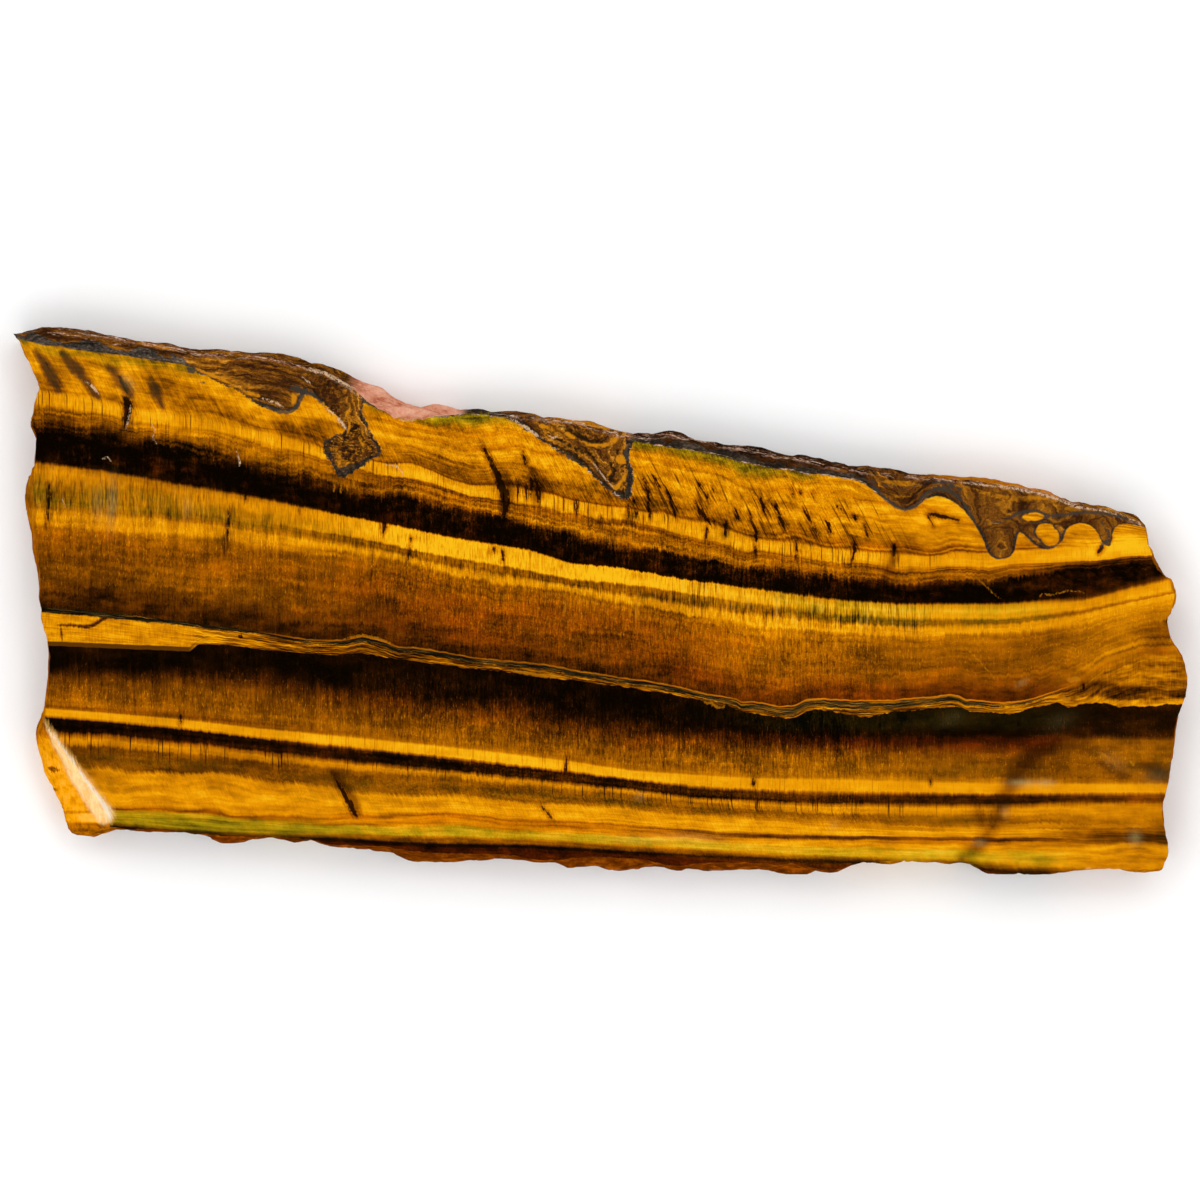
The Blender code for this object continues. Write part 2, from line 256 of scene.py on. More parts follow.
softCracks = [  # broad and clouded
    [(62, 353, 3), (76, 368, 5), (90, 386, 3), (98, 398, 2)],
    [(108, 366, 3), (120, 380, 4.5), (130, 394, 4)],
    [(36, 352, 2), (48, 370, 4), (58, 388, 4)],
    [(150, 380, 1.5), (158, 396, 2.5), (163, 410, 1.5)],
    [(505, 478, 5), (506, 496, 7), (504, 514, 3)],
    [(532, 470, 4), (538, 484, 9), (536, 500, 4)],
    [(334, 773, 2), (346, 791, 3.4), (357, 811, 4), (360, 816, 1.5)],
    [(1056, 742, 4), (1040, 750, 6), (1020, 768, 8), (1006, 794, 7), (994, 824, 4), (978, 848, 5), (962, 858, 4)],
    [(970, 790, 0), (978, 810, 1), (985, 830, 1)],
    [(895, 548, 2.5), (892, 562, 2.5), (886, 577, 3)],
    [(1098, 762, 1), (1112, 770, 4), (1124, 777, 3)],
    [(1142, 764, 1), (1156, 771, 5), (1170, 780, 4)],
]

rockRibbons = [  # grey
    [(249, 400, 0.8), (264, 406, 1.4), (278, 411, 1.8), (289, 412, 1.8), (297, 407, 1.8), (301, 398, 2), (304, 392, 2.2),
     (311, 393, 1.8), (319, 400, 1.2), (327, 410, 1), (334, 418, 0.5)],
    [(303, 392, 2.5), (296, 388, 3), (288, 388, 1)],
    [(627, 444, 1), (626, 452, 2), (628, 461, 1.6)],
    [(186, 368, 1), (191, 371, 3), (196, 371, 1)],
    [(200, 379, 1), (202, 382, 2), (205, 383, 1)],
    [(362, 399, 2.4), (372, 404, 2.4), (385, 409, 2.4), (396, 411, 2), (408, 412, 1)],
    [(1098, 549, 1), (1104, 543, 2), (1113, 538, 1.4)],
    [(862, 483, 0.8), (875, 488, 1.8), (885, 498, 1.8), (895, 506, 1.5), (905, 510, 1.3), (916, 506, 1.3), (923, 496, 1.4),
     (934, 489, 2.2), (948, 490, 2.2), (960, 498, 2.2), (970, 512, 1.6), (978, 528, 0.8)],
    [(850, 477, 0.8), (866, 480, 1.3), (886, 485, 1), (905, 488, 0.8), (925, 483, 1), (945, 482, 1.6), (962, 490, 1.3), (972, 502, 0.6)],
    [(978, 521, 0.8), (990, 523, 1.4), (1004, 521, 1.4), (1018, 513, 1.6), (1036, 510, 1), (1050, 516, 1.6),
     (1064, 515, 1.6), (1082, 512, 1.4), (1104, 513, 1.6), (1124, 518, 1.6), (1146, 526, 0.8)],
    [(1100, 520, 1), (1108, 530, 1.4), (1110, 540, 1)],
]
rockStrokes = [  # near black
    [(319, 443, 1), (325, 454, 2), (332, 467, 3.2), (336, 478, 3.4), (348, 474, 3), (360, 467, 3.2), (369, 460, 2.8),
     (382, 456, 2.6), (381, 466, 1)],
    [(322, 439, 0.8), (334, 444, 1.4), (340, 446, 0.8)],
    [(337, 454, 0.8), (348, 460, 1.2), (361, 464, 1.2)],
    [(364, 409, 0.8), (361, 418, 1.6), (368, 427, 1), (372, 435, 1.4), (377, 443, 1), (382, 452, 1.8)],
    [(538, 436, 1), (549, 444, 1.6), (563, 449, 2), (572, 455, 2.2), (584, 463, 2), (590, 470, 1.8), (598, 478, 1.8),
     (608, 487, 2), (616, 495, 2.4), (627, 500, 3)],
    [(613, 491, 1), (621, 493, 2.4), (629, 498, 3), (631, 482, 3.2), (632, 468, 2.6), (624, 467, 1.6), (617, 468, 1)],
    [(606, 467, 0.8), (611, 463, 1.8), (615, 470, 2), (610, 478, 1.6), (615, 482, 1.8), (619, 475, 1)],
    [(554, 424, 1), (566, 429, 2.2), (580, 436, 2.4), (592, 441, 2.6), (602, 441, 2.2), (609, 435, 1)],
    [(545, 432, 1), (556, 438, 1.8), (568, 444, 1.4), (579, 450, 1.6), (592, 455, 1.4), (606, 459, 0.8)],
    [(340, 432, 1), (346, 437, 1.8), (343, 447, 1.4), (352, 452, 1.2)],
    [(352, 420, 0.8), (356, 432, 1.2), (354, 444, 1), (363, 452, 1.2)],
    [(590, 452, 0.8), (596, 462, 1.2), (600, 470, 0.8)],
    [(620, 444, 0.8), (616, 452, 1.4), (622, 457, 0.8)],
]
rockGold = [
    [(292, 394, 1), (295, 398, 2.6), (292, 406, 1)],
    [(562, 432, 1), (570, 435, 3), (577, 439, 1.4)],
    [(578, 440, 1), (588, 444, 2.2), (599, 446, 2), (610, 444, 1.6), (618, 438, 3), (622, 435, 1)],
    [(617, 455, 1), (620, 459, 4.5), (626, 463, 2)],
    [(624, 470, 1), (624, 480, 1.8), (616, 488, 2), (608, 483, 1)],
    [(607, 476, 0.8), (611, 472, 1.6), (613, 476, 0.8)],
    [(536, 424, 1), (546, 427, 2.4), (556, 432, 1)],
    [(343, 466, 1), (349, 465, 3.4), (356, 467, 1)],
    [(334, 452, 1), (340, 458, 1.6), (338, 468, 1.4)],
    [(357, 427, 0.8), (359, 436, 1.6), (363, 445, 1.4), (372, 450, 1), (378, 453, 0.8)],
    [(968, 487, 0.8), (988, 494, 1.8), (1008, 498, 2.0), (1034, 498, 1.8), (1056, 499, 1)],
    [(548, 417, 0.6), (570, 420, 1.2), (600, 427, 1.4), (620, 432, 0.8)],
    [(990, 504, 0.6), (1010, 506, 0.9), (1040, 505, 0.6)],
    [(886, 492, 0.5), (896, 497, 1), (908, 497, 1), (916, 492, 0.6)],
    [(1062, 508, 1), (1072, 509, 2.4), (1084, 511, 1)],
    [(880, 481, 1), (896, 483, 2.6), (912, 484, 2), (926, 487, 1)],
    [(352, 406, 0.8), (346, 414, 1.2), (350, 424, 1), (347, 434, 1.4)],
    [(187, 366, 0.8), (200, 371, 1.8), (214, 376, 1.5), (234, 385, 1)],
    [(204, 380, 0.8), (218, 386, 1.6), (230, 391, 0.8)],
    [(240, 389, 0.6), (252, 394, 1.4), (262, 397, 0.6)],
    [(322, 448, 0.8), (330, 450, 1.6), (338, 449, 0.8)],
    [(354, 414, 0.8), (358, 420, 1.4), (362, 428, 0.8)],
]

# Clouds of lighter or darker stone: (right, down, half width, half height, turn in degrees, change of tone).
clouds = [
    (55, 425, 26, 14, 10, -0.30), (52, 380, 12, 14, 40, -0.22), (100, 445, 60, 14, 8, -0.12),
    (160, 385, 30, 14, 30, -0.14), (205, 402, 40, 11, 28, -0.20), (290, 430, 34, 9, 25, -0.26),
    (325, 425, 16, 9, 30, -0.18), (175, 372, 22, 7, 20, 0.10), (130, 365, 18, 6, 25, 0.12),
    (215, 388, 30, 7, 25, 0.10), (270, 418, 22, 6, 20, 0.08), (400, 500, 46, 16, 8, -0.12),
    (455, 462, 30, 10, 22, -0.10), (500, 430, 60, 12, 8, 0.08), (560, 470, 34, 9, 35, 0.10),
    (545, 490, 26, 7, 20, -0.10), (600, 508, 20, 6, 12, -0.10), (690, 470, 60, 9, 14, 0.06),
    (780, 520, 40, 10, 20, -0.06), (880, 520, 44, 12, 10, 0.06), (900, 545, 60, 6, 6, -0.12),
    (940, 505, 30, 7, 14, 0.14), (1090, 572, 60, 12, -8, -0.14), (1020, 583, 28, 8, 0, 0.10),
    (1130, 600, 36, 14, -24, 0.10), (1130, 625, 30, 18, -20, 0.05), (1155, 640, 14, 16, 10, -0.22),
    (1168, 635, 8, 18, 10, -0.10), (1160, 690, 30, 6, -6, -0.30), (1130, 672, 30, 8, -14, 0.14),
    (760, 640, 60, 24, 4, 0.04), (400, 620, 90, 14, 8, -0.05), (110, 560, 60, 20, 4, -0.04),
    (160, 545, 50, 10, 6, 0.05), (560, 690, 120, 14, 8, -0.06), (940, 722, 60, 8, 0, 0.05),
    (1060, 765, 60, 16, 0, -0.08), (1040, 840, 80, 8, 0, -0.08), (220, 800, 60, 10, 4, 0.05),
    (930, 593, 80, 9, 2, -0.16), (48, 441, 12, 7, 0, -0.22), (140, 456, 16, 7, 4, -0.16),
    (232, 474, 30, 8, 6, -0.12), (1120, 835, 60, 5, 0, -0.10), (1120, 545, 46, 12, -10, 0.12), (1170, 590, 14, 22, 0, 0.08),
    (240, 637, 34, 5, 8, 0.16), (190, 502, 34, 7, 6, 0.09), (60, 493, 20, 6, 4, -0.10), (150, 486, 24, 5, 6, -0.08),
    (885, 611, 40, 6, 2, 0.07), (120, 378, 22, 10, 40, 0.05),
    (677, 665, 24, 9, 0, -0.13), (730, 655, 30, 14, 0, 0.05), (650, 712, 60, 6, 4, 0.05), (885, 600, 30, 5, 0, 0.04),
]
hazes = [  # pale and milky: the same, with a share instead
    (112, 504, 4, 20, 4, 0.30), (128, 382, 8, 4, 50, 0.28), (690, 838, 26, 3, 4, 0.22), (640, 840, 30, 3, 2, 0.12),
    (1022, 783, 12, 3, 0, 0.60), (1046, 783, 8, 3, 0, 0.50), (1005, 812, 4, 5, 0, 0.22), (980, 843, 6, 3, 0, 0.35),
    (952, 718, 14, 7, -20, 0.04), (1060, 721, 16, 8, -20, 0.04), (1114, 762, 14, 7, 30, 0.08), (1135, 838, 6, 6, 0, 0.40),
    (1158, 776, 14, 7, 0, 0.10), (640, 797, 5, 4, 0, 0.18), (834, 826, 4, 6, 30, 0.12), (187, 508, 3, 9, 0, 0.20),
    (98, 505, 5, 14, 0, 0.15), (1022, 683, 6, 2, -30, 0.30),
]


# Places where the sides bulge: (right, down, reach, how far).
bulges = [
    (430, 410, 26, 5), (392, 398, 20, 3), (465, 862, 40, 2), (545, 858, 34, 6), (672, 864, 26, 6), (830, 866, 22, 7),
    (1152, 556, 16, 6), (1182, 662, 22, 5), (1066, 500, 26, 2), (330, 845, 40, 2), (66, 826, 30, 2), (1160, 700, 30, 2),
]


# ---- measuring on the grid ----
def toGrid(points):
    right = points[:, 0] / slab["gridStep"] + slab["gridCentre"]
    down = slab["gridCentre"] - points[:, 1] / slab["gridStep"]
    return right, down


def smoothStep(low, high, values):
    share = np.clip((values - low) / (high - low), 0, 1)
    return share * share * (3 - 2 * share)


def drawnLine(points, softening=9):  # a height for every step to the right, with its corners eased
    steps = np.arange(-40, 1241)
    heights = np.interp(steps, *np.array(points, float).T)
    window = np.hanning(softening + 2)
    padded = np.pad(heights, softening, mode="edge")
    eased = np.convolve(padded, window / window.sum(), mode="same")[softening:-softening]
    return lambda right: np.interp(right, steps, eased)


def segmentGap(right, down, start, end):  # distance from a drawn segment, and the share along it
    run = np.array(end[:2], float) - start[:2]
    share = ((right - start[0]) * run[0] + (down - start[1]) * run[1]) / max(run @ run, 1e-9)
    share = np.clip(share, 0, 1)
    gap = np.hypot(right - start[0] - share * run[0], down - start[1] - share * run[1])
    return gap, share


def crackGap(right, down, cracks):  # distance outside the nearest crack, negative inside it
    nearest = np.full(len(right), 40.0)
    for crack in cracks:
        runs = [math.dist(start[:2], end[:2]) for start, end in zip(crack, crack[1:])]
        passed = 0.0
        for start, end, run in zip(crack, crack[1:], runs):
            gap, share = segmentGap(right, down, start, end)
            along = (passed + share * run) / sum(runs)
            drawnIn = 1.4 * abs(2 * along - 1) ** 4  # both ends run out to a point
            nearest = np.minimum(nearest, gap - (start[2] + share * (end[2] - start[2])) + drawnIn)
            passed += run
    return nearest


def rounded(points, rounds=2):  # cuts the corners of a drawn line
    points = np.array(points, float)
    for _ in range(rounds):
        early, late = points[:-1], points[1:]
        cut = np.stack([early * 0.75 + late * 0.25, early * 0.25 + late * 0.75], axis=1).reshape(-1, points.shape[1])
        points = np.vstack([points[:1], cut, points[-1:]])
    return points


def insideOutline(right, down, outline):
    inside = np.zeros(len(right), bool)
    for (x0, y0), (x1, y1) in zip(outline, np.roll(outline, -1, axis=0)):
        if y0 == y1:
            continue
        crosses = (y0 > down) != (y1 > down)
        inside ^= crosses & (right < (x1 - x0) * (down - y0) / (y1 - y0) + x0)
    return inside


def hostGap(right, down):  # how deep in the dark host rock, negative outside it, and the rind there
    nearest = np.full(len(right), 400.0)
    rind = np.zeros(len(right))
    edge = rounded(hostEdge)
    for start, end in zip(edge, edge[1:]):
        gap, share = segmentGap(right, down, start, end)
        closer = gap < nearest
        nearest = np.where(closer, gap, nearest)
        rind = np.where(closer, start[2] + share * (end[2] - start[2]), rind)
    outline = np.vstack([edge[:, :2], [(1220, 100), (-20, 100)]])
    depth = np.where(insideOutline(right, down, outline), nearest, -nearest)
    for centreRight, centreDown, halfWidth, halfHeight in goldIslands:
        radius = np.hypot((right - centreRight) / halfWidth, (down - centreDown) / halfHeight)
        depth = np.minimum(depth, (radius - 1) * min(halfWidth, halfHeight))
        rind = np.where(abs(depth - (radius - 1) * min(halfWidth, halfHeight)) < 0.01, 2.2, rind)
    return depth, rind


def layerPlace(right, down):  # where a point lies in the order of layers
    lines = list(layerLines.values())
    heights = [drawnLine(points)(right) for _, points in lines]
    place = lines[0][0] + np.minimum(down - heights[0], 0)
    for (above, _), (below, _), high, low in zip(lines, lines[1:], heights, heights[1:]):
        place = place + (below - above) * np.clip((down - high) / np.maximum(low - high, 1), 0, 1)
    return place + np.maximum(down - heights[-1], 0)


def cloudTone(right, down, spots):
    tone = np.zeros(len(right))
    for centreRight, centreDown, halfWidth, halfHeight, turn, change in spots:
        cos, sin = math.cos(math.radians(turn)), math.sin(math.radians(turn))
        along = (right - centreRight) * cos + (down - centreDown) * sin
        across = (down - centreDown) * cos - (right - centreRight) * sin
        tone += change * np.exp(-((along / halfWidth) ** 2 + (across / halfHeight) ** 2))
    return tone


# ---- the slab's mesh ----
def cadSides():  # the sides of the CAD slab as triangles, with both flat faces left open
    merged = bmesh.new()
    merged.from_mesh(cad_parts[slab["node"]].data)
    bmesh.ops.remove_doubles(merged, verts=merged.verts, dist=1e-6)
    merged.verts.ensure_lookup_table()
    points = np.array([vert.co[:] for vert in merged.verts])
    triangles = np.array([[vert.index for vert in face.verts] for face in merged.faces])
    merged.free()
    heights = points[triangles][:, :, 2]
    hair = 2e-6
    flat = (heights < hair).all(axis=1) | (heights > thickness - hair).all(axis=1)
    return points, triangles[~flat]


def splitLong(points, triangles, longest):  # halves every edge that is too long
    corners = np.stack([triangles, np.roll(triangles, -1, axis=1)], axis=2)
    ends, place = np.unique(np.sort(corners.reshape(-1, 2), axis=1), axis=0, return_inverse=True)
    place = place.reshape(-1, 3)
    long = np.linalg.norm(points[ends[:, 0]] - points[ends[:, 1]], axis=1) > longest
    middle = np.cumsum(long) - 1 + len(points)
    points = np.vstack([points, points[ends[long]].mean(axis=1)])
    made = []
    for corner, edges in zip(triangles.tolist(), place.tolist()):
        cut = [middle[edge] if long[edge] else None for edge in edges]
        count = 3 - cut.count(None)
        if count == 0:
            made.append(corner)
        elif count == 3:
            a, b, c = corner
            ab, bc, ca = cut
            made += [(a, ab, ca), (ab, b, bc), (ca, bc, c), (ab, bc, ca)]
        else:
            start = cut.index(None) if count == 2 else next(i for i in range(3) if cut[i] is not None)
            a, b, c = corner[start:] + corner[:start]
            ab, bc, ca = cut[start:] + cut[:start]
            if count == 1:
                made += [(a, ab, c), (ab, b, c)]
            else:
                made += [(ca, bc, c), (a, b, bc), (a, bc, ca)]
    return points, np.array(made)


def openEdges(triangles):  # the edges that only one triangle has, in that triangle's direction
    corners = np.stack([triangles, np.roll(triangles, -1, axis=1)], axis=2).reshape(-1, 2)
    _, place, count = np.unique(np.sort(corners, axis=1), axis=0, return_inverse=True, return_counts=True)
    return corners[count[place.ravel()] == 1]


def eased(points, ends, moving, rounds):  # draws the moving points towards those that they are joined to
    for _ in range(rounds):
        total = np.zeros_like(points)
        count = np.zeros(len(points))
        for a, b in (ends.T, ends.T[::-1]):
            np.add.at(total, a, points[b])
            np.add.at(count, a, 1)
        middle = total / np.maximum(count, 1)[:, None]
        points = np.where(moving[:, None], (points + middle) / 2, points)
    return points


def easeSides(points, triangles):  # smooths the sides, and the lower rim along itself
    rim = openEdges(triangles)
    onRim = np.zeros(len(points), bool)
    onRim[rim] = True
    corners = np.stack([triangles, np.roll(triangles, -1, axis=1)], axis=2).reshape(-1, 2)
    points = eased(points, np.unique(np.sort(corners, axis=1), axis=0), ~onRim, 2)
    return eased(points, rim, onRim & (points[:, 2] < thickness / 2), 24)


def swelled(points, triangles):  # the sides stand proud of the plain solid, most of all at the bulges
    turned = np.cross(points[triangles[:, 1]] - points[triangles[:, 0]], points[triangles[:, 2]] - points[triangles[:, 0]])
    outwards = np.zeros_like(points)
    for column in range(3):
        np.add.at(outwards, triangles[:, column], turned)
    outwards[:, 2] = 0
    corners = np.stack([triangles, np.roll(triangles, -1, axis=1)], axis=2).reshape(-1, 2)
    outwards = eased(outwards, np.unique(np.sort(corners, axis=1), axis=0), np.ones(len(points), bool), 8)
    outwards /= np.maximum(np.linalg.norm(outwards, axis=1), 1e-12)[:, None]
    right, down = toGrid(points)
    steps = slab["sideSwell"] * smoothStep(30, 60, right)
    for centreRight, centreDown, reach, extra in bulges:
        steps = steps + extra * np.exp(-((right - centreRight) ** 2 + (down - centreDown) ** 2) / reach ** 2)
    return points + outwards * (steps * slab["gridStep"])[:, None]


def nibbleRim(points, triangles):  # the polished face ends in a rim with small nicks
    rim = openEdges(triangles)
    rim = rim[points[rim[:, 0], 2] > thickness / 2]
    run = points[rim[:, 1]] - points[rim[:, 0]]
    inwards = np.zeros_like(points)
    for column in (0, 1):
        np.add.at(inwards, rim[:, column], np.column_stack([run[:, 1], -run[:, 0], 0 * run[:, 0]]))
    inwards /= np.maximum(np.linalg.norm(inwards, axis=1), 1e-12)[:, None]
    right, down = toGrid(points)
    ripple = np.sin(right * 0.9 + 2 * np.sin(down * 0.37)) * np.sin(down * 1.1 + np.sin(right * 0.23))
    return points + inwards * slab["rimNick"] * np.maximum(ripple, 0)[:, None]


def honeycomb(low, high, spacing):  # evenly spread points of a box
    rows = np.arange(low[1], high[1], spacing * math.sqrt(3) / 2)
    columns = np.arange(low[0], high[0], spacing)
    right, up = np.meshgrid(columns, rows)
    right = right + (np.arange(len(rows)) % 2)[:, None] * spacing / 2
    return np.column_stack([right.ravel(), up.ravel()])


def nearDetail(points):
    right, down = toGrid(points)
    nearest = abs(hostGap(right, down)[0])
    for name in ("seamTop", "seamBase"):
        nearest = np.minimum(nearest, abs(down - drawnLine(layerLines[name][1])(right)))
    for cracks in (darkCracks, paleVeins, goldVeins):
        nearest = np.minimum(nearest, crackGap(right, down, cracks))
    return nearest < slab["detailReach"]


def flatFill(points, triangles, top):  # fills one open end of the sides with evenly spread triangles
    edges = openEdges(triangles)
    edges = edges[(points[edges[:, 0], 2] > thickness / 2) == top]
    corners = np.unique(edges)
    rim = points[corners, :2]
    pairs = np.searchsorted(corners, edges)
    spacing = slab["faceSpacing"] if top else slab["backSpacing"]
    spread = honeycomb(rim.min(0), rim.max(0), spacing)
    if top:
        spread = spread[~nearDetail(spread)]
        fine = honeycomb(rim.min(0), rim.max(0), slab["detailSpacing"])
        spread = np.vstack([spread, fine[nearDetail(fine)]])
    clear = np.full(len(spread), 1.0)
    for start, end in rim[pairs]:
        clear = np.minimum(clear, segmentGap(spread[:, 0], spread[:, 1], start, end)[0])
    inside = np.zeros(len(spread), bool)
    for (x0, y0), (x1, y1) in rim[pairs][rim[pairs][:, 0, 1] != rim[pairs][:, 1, 1]]:
        crosses = (y0 > spread[:, 1]) != (y1 > spread[:, 1])
        inside ^= crosses & (spread[:, 0] < (x1 - x0) * (spread[:, 1] - y0) / (y1 - y0) + x0)
    spread = spread[inside & (clear > slab["detailSpacing"] * 0.8)]
    flat = [Vector(point) for point in np.vstack([rim, spread]).tolist()]
    filled = delaunay_2d_cdt(flat, pairs.tolist(), [], 1, 1e-9)
    height = thickness if top else 0.0
    added = np.array([(x, y, height) for x, y in filled[0]])
    place = np.arange(len(added)) + len(points)
    for i, origins in enumerate(filled[3]):
        for origin in origins:
            if origin < len(corners):
                place[i] = corners[origin]
    faces = place[np.array(filled[2])]
    return np.vstack([points, added]), faces if top else faces[:, ::-1]


def slabMesh():
    points, sides = cadSides()
    for _ in range(4):
        points, sides = splitLong(points, sides, slab["sideSpacing"] * 1.35)
    points = easeSides(points, sides)
    points = swelled(points, sides)
    points = nibbleRim(points, sides)
    points, face = flatFill(points, sides, True)
    points, back = flatFill(points, sides, False)
    triangles = np.vstack([face, sides, back])
    used, triangles = np.unique(triangles, return_inverse=True)
    triangles = triangles.reshape(-1, 3)
    mesh = bpy.data.meshes.new(slab["name"])
    mesh.from_pydata(points[used].tolist(), [], triangles.tolist())
    kinds = np.repeat([0, 1, 2], [len(face), len(sides), len(back)])
    mesh.polygons.foreach_set("material_index", kinds.astype(np.int32))
    return mesh


# ---- what the materials read ----
greyVein = [(0, 5.5), (130, 5.2), (179, 4.2), (204, 3.2), (240, 3.4), (256, 1.5), (290, 3), (340, 4.8), (395, 4.6),
            (545, 4.8), (700, 5), (735, 6.5), (790, 9), (805, 8), (880, 8), (950, 6), (965, 5), (1040, 3), (1060, 0)]


def fibrePlace(right, down):  # the same along a fibre: upright in the middle, slanted above and below
    above = drawnLine(layerLines["stepTop"][1])(right) - down
    below = down - drawnLine(layerLines["oliveBase"][1])(right) + 12
    return right + 0.55 * np.maximum(above, 0) - 0.45 * np.maximum(below, 0)


chipRidge = [(44, 720, 2), (55, 742, 5), (75, 773, 7.5), (92, 799, 10), (104, 815, 11.5)]  # painted highlight: whitish light along the chip's rounded ridge


def rimGap(points, mesh):  # distance from the rim of the polished face
    rim = openEdges(np.array([face.vertices[:] for face in mesh.polygons if face.material_index == 0]))
    tree = KDTree(len(rim))
    for i, corner in enumerate(rim[:, 0]):
        tree.insert(points[corner], i)
    tree.balance()
    return np.array([tree.find(point)[2] for point in points]) / slab["gridStep"]


def stoneReadings(mesh):  # one number of each kind for every point of the slab
    points = np.empty(len(mesh.vertices) * 3)
    mesh.vertices.foreach_get("co", points)
    points = points.reshape(-1, 3)
    right, down = toGrid(points)
    depth = (thickness - points[:, 2]) / slab["gridStep"]
    slanted = down + 0.10 * depth * np.sin(right * 0.013)
    host, rind = hostGap(right, down)
    return {
        "layer": layerPlace(right, slanted),
        "fibre": fibrePlace(right, down),
        "host": host,
        "rind": rind,
        "underSeam": down - drawnLine(layerLines["seamTop"][1], 5)(right),
        "overSeam": drawnLine(layerLines["seamBase"][1], 3)(right) - down,
        "greyVein": drawnLine(greyVein)(right),
        "darkCrack": crackGap(right, down, darkCracks),
        "paleVein": crackGap(right, down, paleVeins),
        "goldVein": crackGap(right, down, goldVeins),
        "softCrack": crackGap(right, down, softCracks),
        "rockRibbon": crackGap(right, down, rockRibbons),
        "rockStroke": crackGap(right, down, rockStrokes),
        "rockGold": crackGap(right, down, rockGold),
        "chipRidge": crackGap(right, down, [chipRidge]),
        "cloud": cloudTone(right, down, clouds),
        "haze": cloudTone(right, down, hazes),
        "rimGap": rimGap(points, mesh),
    }


def sideShares(mesh):  # how freely the relief may move each point: none on the flat faces and their rims
    count = len(mesh.vertices)
    kinds = np.empty(len(mesh.polygons), np.int32)
    mesh.polygons.foreach_get("material_index", kinds)
    corners = np.empty(len(mesh.polygons) * 3, np.int32)
    mesh.polygons.foreach_get("vertices", corners)
    corners = corners.reshape(-1, 3)
    onSide, onFlat = np.zeros(count, bool), np.zeros(count, bool)
    onSide[corners[kinds == 1]] = True
    onFlat[corners[kinds != 1]] = True
    points = np.empty(count * 3)
    mesh.vertices.foreach_get("co", points)
    height = points[2::3]
    share = smoothStep(0, 0.0008, height) * smoothStep(0, 0.0006, thickness - height)
    return {"sideShare": np.where(onSide & ~onFlat, share, 0), "faceShare": np.where(onFlat & (height > thickness / 2), 1, 0)}


def addReadings(mesh, readings):
    for name, values in readings.items():
        values = np.ascontiguousarray(values, np.float32)
        mesh.attributes.new(name, "FLOAT", "POINT").data.foreach_set("value", values)


# The bake's own map, in pixels: the sides in strips at the bottom, the back above them, then the polished face.
bakeMap = {
    "name": "OFBake",
    "pixels": 1024,
    "margin": 7,
    "strips": 3,
    "stripHeight": 54,
    "backScale": 4900,  # pixels to a metre
    "faceScale": 6680,
    "spineReach": 0.048,  # the sides are measured round a line of twice this length
    "endRadius": 0.034,
}


def wayRound(points):  # the share of the way round the slab, clockwise from the upper left
    reach, arc = bakeMap["spineReach"], bakeMap["endRadius"]
    spine = np.clip(points[:, 0], -reach, reach)
    turn = np.mod(math.pi / 2 - np.arctan2(points[:, 1], points[:, 0] - spine), 2 * math.pi)
    passed = np.where(turn > math.pi, 4 * reach, spine + reach)
    passed = np.where(points[:, 1] < 0, 3 * reach - spine, passed)
    return np.mod((passed + arc * turn) / (4 * reach + 2 * math.pi * arc), 1)


def wayDown(points, rims):  # the share of the way from the upper rim to the lower one
    gaps = []
    for rim in rims:
        tree = KDTree(len(rim))
        for i, point in enumerate(rim):
            tree.insert(point, i)
        tree.balance()
        gaps.append(np.array([tree.find(point)[2] for point in points]))
    return gaps[0] / np.maximum(gaps[0] + gaps[1], 1e-9)


def addBakeMap(mesh):
    size, margin, strips = bakeMap["pixels"], bakeMap["margin"], bakeMap["strips"]
    points = np.array([vert.co[:] for vert in mesh.vertices])
    corners = np.array([face.vertices[:] for face in mesh.polygons])
    kinds = np.array([face.material_index for face in mesh.polygons])
    low = points.min(axis=0)
    backBase = margin + strips * (bakeMap["stripHeight"] + margin)
    faceBase = backBase + (points[:, 1].max() - low[1]) * bakeMap["backScale"] + margin
    spots = np.zeros(corners.shape + (2,))
    for kind, scale, base in ((0, bakeMap["faceScale"], faceBase), (2, bakeMap["backScale"], backBase)):
        here = points[corners[kinds == kind]]
        spots[kinds == kind] = (here[:, :, :2] - low[:2]) * scale + (margin, base)
    sides = corners[kinds == 1]
    rims = [points[np.intersect1d(sides, corners[kinds == kind])] for kind in (0, 2)]
    used, place = np.unique(sides, return_inverse=True)
    place = place.reshape(-1, 3)
    around = wayRound(points[used])[place]
    around -= np.round(around - around[:, :1])  # no triangle spans the start
    down = wayDown(points[used], rims)[place]
    strip = np.floor(np.clip(around.mean(axis=1), 0, 0.99999) * strips)[:, None]
    length = size - 4 * margin
    spots[kinds == 1, :, 0] = 2 * margin + (around * strips - strip) * length
    spots[kinds == 1, :, 1] = margin + strip * (bakeMap["stripHeight"] + margin) + (1 - down) * bakeMap["stripHeight"]
    layer = mesh.uv_layers.new(name=bakeMap["name"])
    layer.data.foreach_set("uv", (spots / size).ravel())


